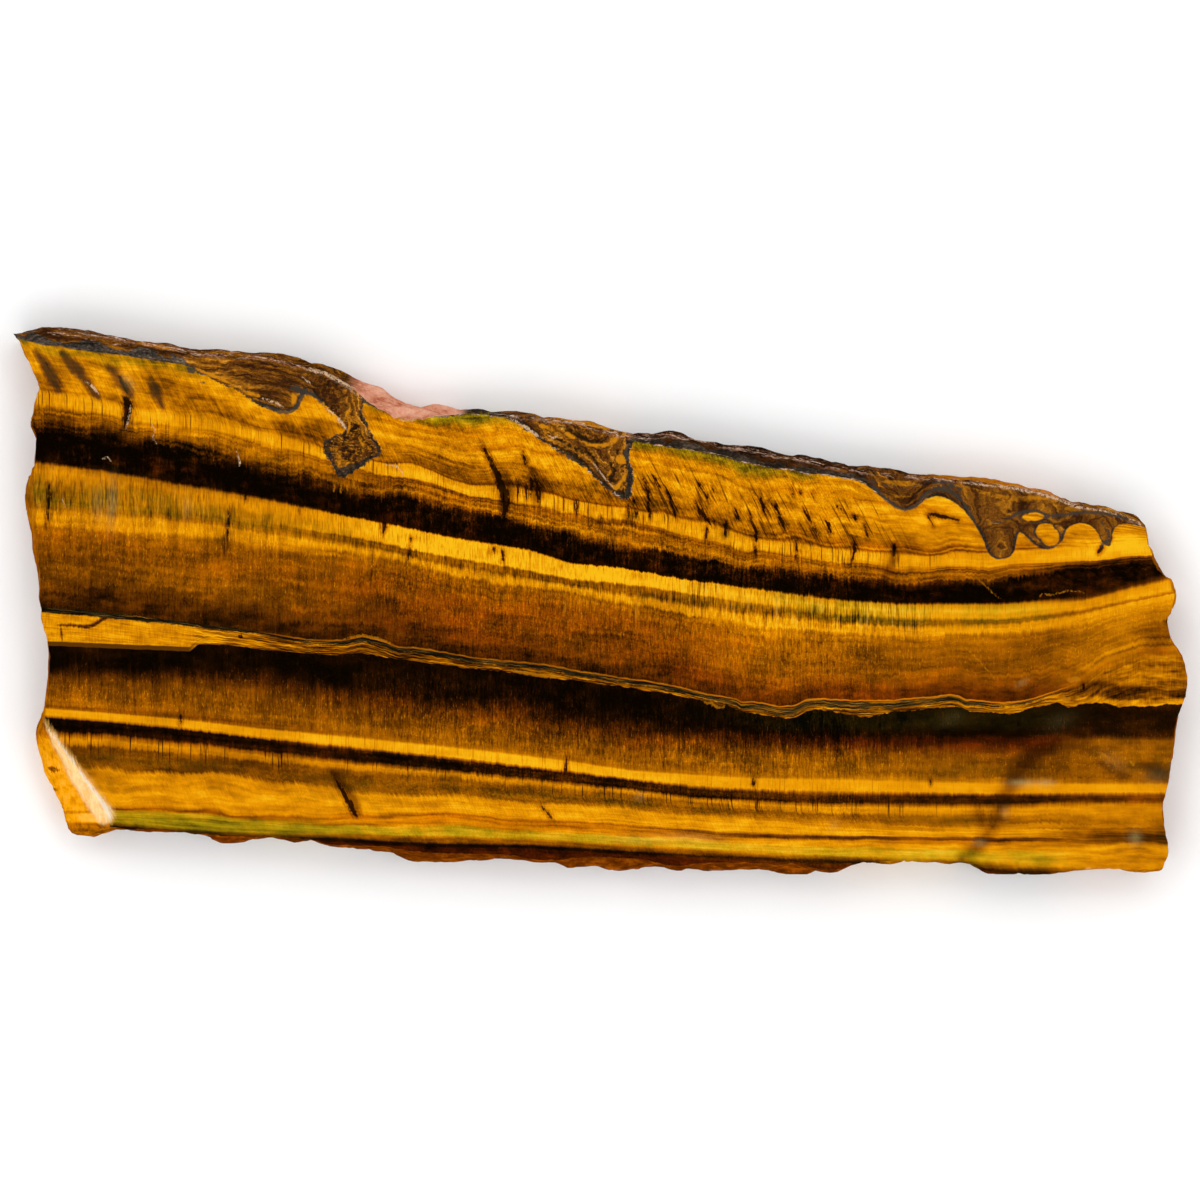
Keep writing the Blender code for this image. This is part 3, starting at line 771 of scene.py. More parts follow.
# ---- node trees ----
class Signal:  # a socket that can stand in a sum
    def __init__(self, board, node, output=0):
        self.board, self.node = board, node
        self.socket = node.outputs[output] if node.outputs else None

    def output(self, name):
        return Signal(self.board, self.node, name)

    def math(self, operation, *values):
        return self.board.make("ShaderNodeMath", {"operation": operation}, dict(enumerate(values)))

    def __add__(self, other):
        return self.math("ADD", self, other)

    def __sub__(self, other):
        return self.math("SUBTRACT", self, other)

    def __rsub__(self, other):
        return self.math("SUBTRACT", other, self)

    def __mul__(self, other):
        return self.math("MULTIPLY", self, other)

    def __truediv__(self, other):
        return self.math("DIVIDE", self, other)

    def __rtruediv__(self, other):
        return self.math("DIVIDE", other, self)

    __radd__, __rmul__ = __add__, __mul__

    def least(self, other):
        return self.math("MINIMUM", self, other)

    def most(self, other):
        return self.math("MAXIMUM", self, other)

    def away(self):  # the size of it, without its sign
        return self.math("ABSOLUTE", self)

    def rise(self, low, high):  # 0 at low, 1 at high, smooth between; low may be the greater
        kind = {"interpolation_type": "SMOOTHSTEP"}
        return self.board.make("ShaderNodeMapRange", kind, {"Value": self, "From Min": low, "From Max": high})

    def ridge(self, centre, half, soft):  # 1 within half of centre, 0 past half + soft
        return (self - centre).away().rise(half + soft, half)


class Board:  # a node tree that new nodes are laid on
    def __init__(self, tree):
        self.tree = tree

    def make(self, kind, settings, inputs, output=0):
        node = self.tree.nodes.new(kind)
        for name, value in settings.items():
            if name == "stops":
                self.setStops(node.color_ramp, value)
            else:
                setattr(node, name, value)
        for name, value in inputs.items():
            named = [socket for socket in node.inputs if socket.enabled and name in (socket.identifier, socket.name)]
            socket = node.inputs[name] if isinstance(name, int) else named[0]
            if isinstance(value, Signal):
                self.tree.links.new(value.socket, socket)
            else:
                socket.default_value = value
        return Signal(self, node, output)

    def setStops(self, ramp, stops):
        while len(ramp.elements) < len(stops):
            ramp.elements.new(1.0)
        for element, (place, colour) in zip(ramp.elements, stops):
            element.position, element.color = place, (*colour, 1.0)

    def ramp(self, value, stops):
        return self.make("ShaderNodeValToRGB", {"stops": stops}, {"Fac": value})

    def mix(self, share, first, second, blend="MIX"):
        inputs = {"Factor_Float": share, "A_Color": first, "B_Color": second}
        return self.make("ShaderNodeMix", {"data_type": "RGBA", "blend_type": blend}, inputs, 2)

    def vector(self, x, y, z=0.0):
        return self.make("ShaderNodeCombineXYZ", {}, {"X": x, "Y": y, "Z": z})

    def noise(self, where, detail=2.0, roughness=0.5, distortion=0.0):
        inputs = {"Vector": where, "Scale": 1.0, "Detail": detail, "Roughness": roughness, "Distortion": distortion}
        return self.make("ShaderNodeTexNoise", {"noise_dimensions": "3D"}, inputs)

    def reading(self, name):
        return self.make("ShaderNodeAttribute", {"attribute_name": name}, {}, "Fac")


def tint(red, green, blue):  # a colour as it is seen, from 0 to 255
    def linear(part):
        part /= 255
        return part / 12.92 if part <= 0.04045 else ((part + 0.055) / 1.055) ** 2.4
    return tuple(linear(part) / lighting["gain"] for part in (red, green, blue))


lighting = {
    "gain": 1.30,  # how much brighter than its own colour a level surface looks
    "softbox": 7.0,  # energy of each softbox, in watts
    "softboxes": 6,
    "softboxSize": 1.1,
    "softboxDistance": 0.95,
    "softboxHeight": 1.45,
    "world": 0.05,
}


# ---- fine relief ----
relief = {  # metres
    "Splinter Length": 0.0075,
    "Splinter Width": 0.0008,
    "Splinter Depth": 0.00040,
    "Lump Size": 0.0021,
    "Lump Depth": 0.00055,
    "Pit Size": 0.0007,
    "Pit Depth": 0.00003,
    "Crack Depth": 0.00002,
    "Seed": 7.0,
}


def reliefTree(materials):  # roughens the broken sides, and cuts the pits and cracks of the polished face
    tree = bpy.data.node_groups.new("stoneRelief", "GeometryNodeTree")
    tree.interface.new_socket("Geometry", in_out="INPUT", socket_type="NodeSocketGeometry")
    tree.interface.new_socket("Geometry", in_out="OUTPUT", socket_type="NodeSocketGeometry")
    for name, value in relief.items():
        tree.interface.new_socket(name, in_out="INPUT", socket_type="NodeSocketFloat").default_value = value
    board = Board(tree)
    given = board.make("NodeGroupInput", {}, {})
    place = board.make("ShaderNodeSeparateXYZ", {}, {0: board.make("GeometryNodeInputPosition", {}, {})})
    normal = board.make("GeometryNodeInputNormal", {}, {})
    x, y, z = (place.output(axis) for axis in "XYZ")

    def read(name):
        return board.make("GeometryNodeInputNamedAttribute", {"data_type": "FLOAT"}, {"Name": name})

    def depthOf(where, depth, low, high, raised=0.0):
        return (board.noise(where, 3.0, 0.55).rise(low, high) - raised) * given.output(depth)

    long, wide, lump, pit = (given.output(name) for name in ("Splinter Length", "Splinter Width", "Lump Size", "Pit Size"))
    seed = given.output("Seed")
    splinters = depthOf(board.vector(x / wide, y / long, z / wide + seed), "Splinter Depth", 0.3, 0.7, 0.5)
    lumps = depthOf(board.vector(x / lump / 2.4, y / lump, z / lump + seed), "Lump Depth", 0.28, 0.72, 0.55)
    ends = board.make("ShaderNodeSeparateXYZ", {}, {0: normal}).away().rise(0.55, 0.85)
    sideDepth = (splinters * ends + lumps * (1 - ends)) * read("sideShare")
    pits = depthOf(board.vector(x / pit, y / pit, seed), "Pit Depth", 0.45, 0.75) * read("host").rise(1, 4)
    cracks = given.output("Crack Depth") * read("darkCrack").rise(1.0, -1.0)
    faceDepth = (pits + cracks) * read("faceShare")
    inwards = board.make("ShaderNodeVectorMath", {"operation": "SCALE"}, {0: normal, "Scale": 0 - sideDepth})
    both = {0: inwards, 1: board.vector(0.0, 0.0, 0 - faceDepth)}
    offset = board.make("ShaderNodeVectorMath", {"operation": "ADD"}, both)
    moved = board.make("GeometryNodeSetPosition", {}, {"Geometry": given, "Offset": offset})
    made = board.make("GeometryNodeRealizeInstances", {}, {"Geometry": moved})
    kind = board.make("GeometryNodeInputNamedAttribute", {"data_type": "INT"}, {"Name": "surfaceKind"})
    for number, material in enumerate(materials):
        same = {"data_type": "INT", "operation": "EQUAL"}
        chosen = board.make("FunctionNodeCompare", same, {"A": kind, "B": number})
        made = board.make("GeometryNodeSetMaterial", {}, {"Geometry": made, "Selection": chosen, "Material": material})
    board.make("NodeGroupOutput", {}, {0: made})
    return tree


def withRelief(mesh, materials):
    raw = bpy.data.objects.new(slab["name"] + "_raw", mesh)
    bpy.context.scene.collection.objects.link(raw)
    modifier = raw.modifiers.new("stoneRelief", "NODES")
    modifier.node_group = reliefTree(materials)
    for socket in modifier.node_group.interface.items_tree:
        if socket.in_out == "INPUT" and socket.name in relief:
            modifier[socket.identifier] = relief[socket.name]
    shown = raw.evaluated_get(bpy.context.evaluated_depsgraph_get())
    made = bpy.data.meshes.new_from_object(shown)
    raw.modifiers.remove(modifier)
    for vert in made.vertices:
        vert.co = [min(max(part, low), high) for part, low, high in zip(vert.co, *cadBox)]
    bpy.data.objects.remove(raw)
    return made


# ---- the stone's colours ----
# Across the layers: place in the order of layers, tone from black 0 to bright gold 1,
# and hue from olive -1 through gold 0 to red-brown 1. One list for each stretch of the slab.
bands = {
    "left": [
        (430, 0.6, -0.3), (446, 0.62, -0.5), (456, 0.74, -0.1), (475, 0.78, 0), (490, 0.7, 0),
        (498, 0.62, 0.1), (502, 0.8, 0), (505, 0.88, 0), (513, 0.86, 0), (516, 0.6, 0), (520, 0.66, 0.1),
        (525, 0.6, 0), (530, 0.38, 0), (535, 0.3, 0), (539, 0.12, 0), (545, 0.08, 0.2), (556, 0.06, 0.3),
        (563, 0.08, 0.1), (565.5, 0.62, -0.1), (568, 0.72, 0), (574, 0.56, -0.35), (583, 0.52, -0.4),
        (589, 0.6, -0.1), (594, 0.78, 0), (602, 0.74, 0), (606, 0.56, 0.1), (612, 0.48, 0.25),
        (630, 0.47, 0.2), (645, 0.46, 0.1), (655, 0.36, 0.1), (664, 0.24, 0.1), (676, 0.2, 0.1),
        (688, 0.06, 0), (706, 0.04, 0), (714, 0.1, 0.2), (722, 0.25, 0.2), (732, 0.38, 0.1), (748, 0.46, 0.1),
        (757, 0.52, 0.1), (761, 0.42, 0.3), (764, 0.5, 0.2), (766, 0.86, 0), (772, 0.88, 0), (774, 0.6, 0.2),
        (775.5, 0.1, 0.2), (784, 0.08, 0.3), (786, 0.5, 0.3), (789, 0.74, 0.1), (792, 0.66, 0.1),
        (794, 0.44, 0.1), (800, 0.4, -0.2), (806, 0.44, -0.1), (809, 0.72, 0.1), (818, 0.78, 0.05),
        (826, 0.72, 0.1), (828, 0.42, 0.4), (830, 0.66, -0.6), (838, 0.64, -0.8), (846, 0.56, -0.8),
        (849, 0.3, -0.5), (852, 0.1, -0.3), (856, 0.2, 0.9),
    ],
    "middle": [
        (430, 0.66, -0.6), (440, 0.62, -0.7), (446, 0.68, -0.4), (452, 0.74, 0), (456, 0.66, 0.35),
        (460, 0.78, 0), (466, 0.7, 0.35), (471, 0.8, 0), (480, 0.72, 0.1), (488, 0.6, 0), (494, 0.5, 0),
        (500, 0.55, 0.1), (502, 0.42, 0.4), (504, 0.86, 0), (511, 0.9, 0), (514, 0.86, 0), (516, 0.45, 0.2),
        (519, 0.5, 0.3), (524, 0.58, 0.2), (529, 0.5, 0.2), (533, 0.66, 0.1), (537, 0.5, 0.2),
        (541, 0.2, 0.2), (546, 0.07, 0.2), (560, 0.05, 0.3), (564.5, 0.07, 0.2), (566, 0.95, 0),
        (577, 0.97, 0), (579, 0.5, -0.1), (587, 0.48, -0.1), (592, 0.82, 0), (597, 0.8, 0), (600, 0.56, 0.2),
        (606, 0.5, 0.3), (625, 0.47, 0.5), (645, 0.44, 0.5), (661, 0.4, 0.5), (668, 0.27, 0.3),
        (678, 0.22, 0.3), (690, 0.05, 0), (712, 0.05, 0), (720, 0.1, 0.2), (728, 0.22, 0.3), (736, 0.33, 0.3),
        (746, 0.44, 0.15), (756, 0.5, 0.1), (762, 0.56, 0.1), (764.5, 0.6, 0.1), (766.5, 0.92, 0),
        (774, 0.92, 0), (776, 0.5, 0.2), (777.5, 0.14, 0.2), (785, 0.12, 0.1), (787, 0.5, 0.2),
        (789, 0.76, 0.05), (791, 0.7, 0.1), (793, 0.5, 0), (800, 0.44, -0.2), (806, 0.5, -0.1),
        (809, 0.78, 0.05), (818, 0.84, 0), (823, 0.78, 0.1), (825.5, 0.45, 0.3), (828, 0.66, 0.35),
        (833, 0.68, 0.3), (836, 0.76, -0.6), (842, 0.74, -0.6), (845, 0.5, 0.1), (847.5, 0.42, 0.2),
        (850, 0.08, -0.2), (853, 0.2, 0.9),
    ],
    "right": [
        (430, 0.7, -0.3), (440, 0.66, -0.4), (446, 0.76, -0.1), (452, 0.82, 0), (458, 0.72, 0.3),
        (463, 0.8, 0), (470, 0.76, 0.2), (480, 0.78, 0.1), (488, 0.72, 0.1), (494, 0.66, 0.2),
        (496.5, 0.5, 0.5), (499, 0.72, 0.1), (501, 0.45, 0.5), (504, 0.85, 0), (512, 0.88, 0), (516, 0.82, 0),
        (519, 0.5, 0.3), (521, 0.6, 0.2), (523, 0.38, 0.3), (526, 0.56, 0.2), (530, 0.6, 0.1),
        (533, 0.45, 0.3), (536, 0.55, 0.2), (539, 0.3, 0.2), (543, 0.14, 0.2), (546, 0.07, 0.2),
        (560, 0.06, 0.1), (563, 0.08, 0), (566, 0.74, -0.3), (572, 0.86, -0.4), (578, 0.76, -0.3),
        (582, 0.48, -0.5), (587, 0.5, -0.4), (591, 0.8, 0), (598, 0.84, 0), (603, 0.6, 0.1), (612, 0.52, 0.1),
        (630, 0.5, 0.15), (650, 0.5, 0.3), (660, 0.42, 0.4), (670, 0.34, 0.5), (678, 0.3, 0.6),
        (690, 0.06, -0.6), (706, 0.05, -0.7), (718, 0.06, 0), (723, 0.16, 0.8), (730, 0.3, 0.6),
        (738, 0.44, 0.2), (748, 0.5, -0.1), (757, 0.52, -0.1), (763, 0.6, 0), (766, 0.85, 0.05),
        (774, 0.84, 0.05), (776.5, 0.4, 0.3), (778, 0.22, 0.2), (784, 0.2, 0.1), (787, 0.6, 0.2),
        (790, 0.82, 0.05), (795, 0.74, 0.05), (798, 0.55, -0.1), (804, 0.52, -0.1), (809, 0.72, 0.05),
        (816, 0.84, 0), (825, 0.82, 0), (827, 0.4, 0.3), (829, 0.36, 0.3), (831, 0.7, 0.3), (834, 0.78, 0.1),
        (838, 0.82, -0.5), (843, 0.78, -0.5), (846, 0.5, -0.3), (849, 0.2, -0.2), (853, 0.3, 0.6),
    ],
    "far": [
        (430, 0.6, 0), (460, 0.7, 0.1), (485, 0.82, 0.1), (500, 0.86, 0), (512, 0.88, 0), (516, 0.8, 0),
        (519, 0.45, 0.2), (524, 0.3, 0.2), (531, 0.22, 0.2), (541, 0.16, 0.2), (550, 0.12, 0.2),
        (560, 0.15, 0.3), (566, 0.3, 0.3), (569, 0.76, 0.1), (576, 0.8, 0.1), (579, 0.6, 0.2),
        (583, 0.5, 0.3), (587, 0.78, 0.1), (598, 0.8, 0.1), (606, 0.68, 0.1), (625, 0.6, 0.05),
        (640, 0.56, 0), (655, 0.58, 0), (662, 0.7, 0), (667, 0.5, 0), (671, 0.66, 0.1), (678, 0.58, 0.2),
        (690, 0.14, 0.1), (700, 0.14, 0), (712, 0.18, 0.1), (719, 0.2, 0.1), (724, 0.48, 0),
        (735, 0.52, -0.05), (750, 0.5, -0.1), (760, 0.52, 0), (764, 0.6, 0), (766, 0.82, 0), (773, 0.84, 0),
        (775.5, 0.5, 0.2), (778, 0.34, 0.3), (782, 0.34, 0.3), (785, 0.6, 0.2), (790, 0.72, 0.1),
        (798, 0.7, 0.1), (806, 0.62, 0.1), (812, 0.55, 0.1), (818, 0.46, -0.1), (826, 0.38, -0.1),
        (829, 0.4, -0.1), (832, 0.74, 0), (842, 0.76, 0), (852, 0.74, 0),
    ],
}
stretches = [("middle", 230, 420), ("right", 620, 840), ("far", 1020, 1110)]  # where each takes over from the last
rampSpans = [(430, 532), (532, 625), (625, 763), (763, 809), (809, 860)]

# How the stone is drawn in each layer: place, (ragged edges, fibres, fine lines), (flecks, dark hairs, grain),
# (blotches, wavering, dark ticks).
manner = [
    (430, (0.10, 0.55, 0.60), (0.0, 0.25, 0.9), (0.9, 1.0, 0.0)), (498, (0.10, 0.62, 0.45), (0.0, 0.30, 0.9), (1.1, 0.8, 0.0)),
    (504, (0.06, 0.50, 0.20), (0.0, 0.60, 0.5), (0.4, 0.2, 0.7)), (514, (0.08, 0.50, 0.25), (0.0, 0.60, 0.5), (0.4, 0.3, 0.7)),
    (518, (0.20, 0.55, 0.90), (0.0, 0.20, 0.9), (0.6, 0.9, 0.3)), (536, (0.35, 0.60, 0.80), (0.1, 0.10, 1.0), (0.9, 1.0, 0.0)),
    (545, (0.45, 0.60, 0.30), (0.1, 0.00, 1.0), (1.1, 0.8, 0.0)), (558, (0.35, 0.60, 0.20), (0.1, 0.00, 0.8), (1.0, 0.4, 0.0)),
    (564, (0.08, 0.30, 0.00), (0.0, 0.30, 0.4), (0.3, 0.0, 0.0)), (567, (0.08, 0.55, 0.10), (0.2, 0.80, 0.3), (0.3, 0.0, 0.0)),
    (577, (0.12, 0.80, 0.20), (0.3, 0.50, 0.4), (0.4, 0.1, 0.0)), (590, (0.30, 0.85, 0.35), (0.5, 0.30, 0.5), (0.4, 0.2, 0.0)),
    (604, (0.30, 0.62, 0.42), (0.8, 0.15, 0.6), (0.35, 0.3, 0.0)), (640, (0.35, 0.48, 0.40), (0.7, 0.10, 0.7), (0.35, 0.4, 0.0)),
    (668, (0.30, 0.35, 0.30), (0.3, 0.10, 0.6), (0.7, 0.3, 0.0)), (690, (0.10, 0.30, 0.00), (0.3, 0.00, 0.4), (0.3, 0.0, 0.0)),
    (716, (0.45, 0.40, 0.00), (0.6, 0.00, 0.4), (0.4, 0.4, 0.0)), (740, (0.50, 0.60, 0.25), (0.9, 0.15, 0.7), (0.5, 0.3, 0.0)),
    (760, (0.25, 0.55, 0.35), (0.6, 0.25, 0.5), (0.4, 0.2, 0.0)), (766, (0.03, 0.20, 0.15), (0.0, 0.30, 0.2), (0.3, 0.0, 0.2)),
    (774, (0.12, 0.25, 0.15), (0.0, 0.20, 0.4), (0.3, 0.0, 0.2)), (780, (0.14, 0.45, 0.55), (0.2, 0.00, 0.8), (0.7, 0.1, 0.2)),
    (787, (0.12, 0.30, 0.30), (0.0, 0.20, 0.5), (0.5, 0.1, 1.0)), (796, (0.20, 0.25, 0.40), (0.0, 0.20, 0.7), (0.5, 0.2, 0.6)),
    (804, (0.25, 0.25, 0.40), (0.0, 0.10, 0.7), (0.5, 0.3, 0.0)), (812, (0.10, 0.30, 0.60), (0.0, 0.10, 0.4), (0.6, 0.3, 0.0)),
    (830, (0.05, 0.15, 0.80), (0.0, 0.05, 0.4), (0.6, 0.3, 0.0)), (850, (0.06, 0.10, 0.40), (0.0, 0.00, 0.6), (0.6, 0.0, 0.0)),
]
goldTones = [(0, (10, 4, 0)), (0.12, (30, 13, 1)), (0.25, (66, 31, 2)), (0.40, (112, 60, 3)), (0.55, (162, 92, 3)),
             (0.70, (206, 126, 4)), (0.85, (240, 156, 5)), (1.0, (255, 192, 22))]
redTones = [(0, (12, 3, 0)), (0.25, (72, 24, 2)), (0.40, (116, 44, 3)), (0.55, (156, 67, 3)),
            (0.70, (200, 95, 0)), (0.85, (230, 122, 0)), (1.0, (250, 148, 6))]
oliveTones = [(0, (8, 7, 2)), (0.25, (55, 42, 6)), (0.40, (95, 76, 8)), (0.55, (140, 116, 12)),
              (0.70, (178, 150, 15)), (0.85, (215, 185, 30)), (1.0, (240, 215, 75))]
rockTones = [(0, (28, 15, 7)), (0.30, (68, 37, 13)), (0.48, (108, 63, 18)), (0.62, (144, 88, 20)),
             (0.78, (194, 124, 24)), (0.92, (222, 160, 66))]


def tinted(tones):
    return [(place, tint(*colour)) for place, colour in tones]


def spanStops(rows, low, high):  # the rows of one ramp, with its ends filled in
    rows = np.array([(row[0], *np.ravel(row[1:])) for row in rows], float)
    inner = rows[(rows[:, 0] > low) & (rows[:, 0] < high)]
    ends = [[place, *(np.interp(place, rows[:, 0], column) for column in rows[:, 1:].T)] for place in (low, high)]
    return [((row[0] - low) / (high - low), row[1:]) for row in np.vstack([ends[0], inner, ends[1]])]


def layerTones(board, layer, right):  # tone, and hue from 0 olive to 1 red
    def along(rows):
        mixed = None
        for low, high in rampSpans:
            stops = [(place, (tone, hue / 2 + 0.5, 0)) for place, (tone, hue) in spanStops(rows, low, high)]
            colour = board.ramp((layer - low) / (high - low), stops)
            mixed = colour if mixed is None else board.mix(layer.rise(low - 0.01, low + 0.01), mixed, colour)
        return mixed

    mixed = along(bands["left"])
    for name, start, end in stretches:
        mixed = board.mix(right.rise(start, end), mixed, along(bands[name]))
    parts = board.make("ShaderNodeSeparateColor", {}, {"Color": mixed})
    return parts, parts.output("Green")


def layerManner(board, layer):
    low, high = 430, 850
    sums = []
    for column in (1, 2, 3):
        stops = [(place, values) for place, values in spanStops([(row[0], row[column]) for row in manner], low, high)]
        parts = board.make("ShaderNodeSeparateColor", {}, {"Color": board.ramp((layer - low) / (high - low), stops)})
        sums += [parts, parts.output("Green"), parts.output("Blue")]
    return sums


def stonePattern(board):  # the colour of the stone anywhere on or in the slab, and what the finish needs
    read = board.reading
    place = board.make("ShaderNodeTexCoord", {}, {}, "Object")
    parts = board.make("ShaderNodeSeparateXYZ", {}, {0: place})
    right = parts / slab["gridStep"] + slab["gridCentre"]
    down = slab["gridCentre"] - parts.output("Y") / slab["gridStep"]
    deep = parts.output("Z") / slab["gridStep"]
    layer, fibre, host = read("layer"), read("fibre"), read("host")

    def fibres(width, length, detail=1.0, shift=0.0):
        return board.noise(board.vector(fibre / width, down / length, deep / width / 3 + shift), detail, 0.6)

    ragged, fibreShare, lineShare, fleckShare, hairShare, grainShare, blotchShare, drift, tickShare = layerManner(board, layer)
    calm = 1 - right.rise(840, 980) * 0.6
    crisp = right.rise(330, 430) * right.rise(900, 840)
    fineFibre, wideFibre = fibres(1.5, 10), fibres(5, 46, 2.0, 5)
    eachFibre = fibres(1.6, 40, 0.0, 11) * 0.3 + fibres(4.5, 90, 2.0, 17) * 0.7
    broad = board.noise(board.vector(right / 60, down / 26, deep / 80), 2.0, 0.6)
    blotch = board.noise(board.vector(fibre / 19, down / 11, deep / 40 + 3), 2.0, 0.65)
    waver = board.noise(board.vector(right / 48, down / 60, deep / 80 + 9), 1.0, 0.6)
    grain = board.noise(board.vector(right / 1.4, down / 1.7, deep / 1.5), 1.0)
    shift = board.noise(board.vector(right / 4, down / 6, deep / 20 + 70), 2.0, 0.7) - 0.5
    torn = ragged * (1 - right.rise(900, 1000) * layer.ridge(730, 14, 6) * 0.7) + right.rise(560, 640) * right.rise(940, 880) * layer.ridge(565, 4, 8) * 0.08
    edge = layer + (eachFibre - 0.5) * torn * 40 + (waver - 0.5) * drift * 22
    lines = board.noise(board.vector(right / 70, edge / 3.6, deep / 150), 2.0, 0.6)
    tone, hue = layerTones(board, edge, right)
    flecks = fibres(1.3, 6, 1.0, 23).rise(0.61, 0.74) * fleckShare * (0.4 + calm * 0.6)
    specks = board.noise(board.vector(right / 1.5, down / 1.5, deep / 2 + 30), 0.0).rise(0.72, 0.82) * fleckShare
    hairs = fibres(1.1, 14, 0.0, 31).rise(0.64, 0.76) * hairShare * calm
    ticks = fibres(2.2, 60, 1.0, 41).rise(0.60, 0.70) * tickShare * calm * right.rise(1080, 860)
    slivers = fibres(2.6, 36, 1.0, 53).rise(0.59, 0.69) * layer.rise(452, 466) * layer.rise(505, 496)
    slivers = slivers * right.rise(560, 640) * right.rise(930, 860) * 0.42
    level = (right.ridge(460, 50, 30) + right.rise(790, 860)) * layer.rise(503, 496)
    fibreShare, lineShare = fibreShare * (1 - level * 0.5), lineShare * (1 + level * 0.6)
    comb = fibres(1.8, 30, 1.0, 61)
    combed = right.rise(270, 170) * 0.35 + right.rise(600, 720) * right.rise(960, 900) * 0.8
    combed = combed * layer.rise(561, 568) * layer.rise(604, 588)
    distant = right.rise(880, 950)
    soft = (read("softCrack") + (broad - 0.5) * 8 + shift * 5).rise(5 + distant * 4, -3 - distant * 4)
    soft = soft * (0.40 + right.rise(300, 200) * 0.16)
    still = right.rise(850, 900).most(right.rise(240, 200) * layer.ridge(692, 12, 6))
    crack = read("darkCrack") + shift * (5 - still * 2) + (fineFibre - 0.5) * (5 - still * 4.5)
    cracked = (crack + (grain - 0.5) * 1.5).rise(1.4, -1.0)
    brow = read("host").ridge(-3, 2, 7) * (right.ridge(425, 50, 20) + right.ridge(725, 85, 20)) * layer.rise(462, 450)
    tone = tone + ((fineFibre - 0.5) * (0.50 + crisp * 0.30) + (wideFibre - 0.5) * 0.62) * fibreShare * calm
    tone = tone + (lines - 0.5) * lineShare * 0.95 + (grain - 0.5) * grainShare * calm * (0.20 + crisp * 0.22)
    tone = tone + (broad - 0.5) * 0.36 + (blotch - 0.5) * blotchShare * 0.66 + read("cloud")
    tone = tone + flecks * 0.28 + specks * broad.rise(0.45, 0.6) * 0.22
    tone = tone + (comb.rise(0.56, 0.70) * 0.12 - comb.rise(0.44, 0.32) * 0.30) * combed - brow * 0.16
    darker = (cracked * 0.80).most(soft).most(crack.rise(4.5, 0.0) * 0.25)
    tone = tone - (hairs * 0.34 + ticks * 0.7 + slivers + darker) * tone.most(0.0)
    hue = hue + (broad - 0.5) * 0.40 + (wideFibre - 0.5) * 0.25 + (blotch - 0.5) * 0.3 - brow * 0.12

    gold = board.ramp(tone, tinted(goldTones))
    colour = board.mix(hue.rise(0.5, 1.0), gold, board.ramp(tone, tinted(redTones)))
    colour = board.mix(hue.rise(0.5, 0.0), colour, board.ramp(tone, tinted(oliveTones)))
    milk = (read("haze") * (0.5 + fineFibre)).most(comb.rise(0.60, 0.76) * combed * 0.30)
    colour = board.mix(milk, colour, (*tint(176, 156, 96), 1))
    colour = board.mix(soft * right.rise(300, 200) * 0.5, colour, (*tint(84, 70, 40), 1))
    stone = {"colour": colour, "right": right, "down": down, "deep": deep, "layer": layer, "host": host,
             "grain": grain, "broad": broad, "blotch": blotch, "shift": shift, "fineFibre": fineFibre,
             "wideFibre": wideFibre, "cracked": cracked}
    stone["colour"] = seamOver(board, stone)
    stone["colour"] = hostRockOver(board, stone)
    stone["colour"] = veinsOver(board, stone)
    return stone


def seamOver(board, stone):  # the grey seam with its golden lines, and the wedge at its left end
    right, deep, shift = stone["right"], stone["deep"], stone["shift"]
    wave = board.noise(board.vector(right / 9, deep / 30, 3.0), 2.0) - 0.5
    wedge, flared = right.rise(200, 188), right.rise(1030, 1100)
    under = board.reading("underSeam") + wave * 2.4 + right.ridge(500, 140, 60) * 1.2
    over = board.reading("overSeam") + (wave * 3 + shift) * (right.rise(300, 420) * 1.5 + 0.5) + wedge * 1.4
    streaks = board.noise(board.vector(right / 30, (under + shift * 2) / (1.5 + flared * 4), deep / 30), 2.0, 0.7) - 0.5
    fill = wedge * 0.78 + (1 - wedge) * (0.40 + right.rise(275, 245) * 0.28 + right.rise(640, 760) * 0.06 + right.rise(940, 980) * 0.14)
    fill = fill - flared * (over.ridge(14, 4, 8) * 0.26 - over.ridge(3, 2, 3) * 0.16)
    fill = fill + streaks * (2.1 - wedge * 1.5 - flared * 1.2) - stone["cracked"] * 0.5
    fill = fill + ((stone["blotch"] - 0.5) * 0.5 + (stone["fineFibre"] - 0.5) * 0.3) * wedge.most(flared)
    seam = board.ramp(fill, tinted(goldTones))
    seam = board.mix(over.rise(5, 3.8) * wedge, seam, (*tint(96, 54, 6), 1))
    early = right.rise(300, 240)
    vein = board.ramp(streaks * 2.7 + 0.43 + right.rise(700, 770) * 0.20 - early * 0.1, tinted(veinTones))
    width = board.reading("greyVein") + shift * (6 - early * 3)
    seam = board.mix((under + early).rise(0.0, 0.8) * (width - under).rise(-0.8, 0.8), seam, vein)
    inside = under.rise(-0.5, 0.4 + flared * 9) * over.rise(-0.5, 0.5)
    colour = board.mix(inside, stone["colour"], seam)
    golden = under.ridge(-0.4, 0.2, 0.9) * right.rise(250, 310) * right.rise(1090, 1040)
    golden = golden * (0.40 + right.rise(600, 640) * 0.2 + right.rise(740, 790) * 0.25 + wave)
    return board.mix(golden, colour, (*tint(222, 124, 10), 1))


veinTones = [(0.15, (16, 12, 5)), (0.42, (40, 34, 17)), (0.56, (60, 47, 20)), (0.74, (98, 62, 14)), (0.95, (164, 104, 14))]
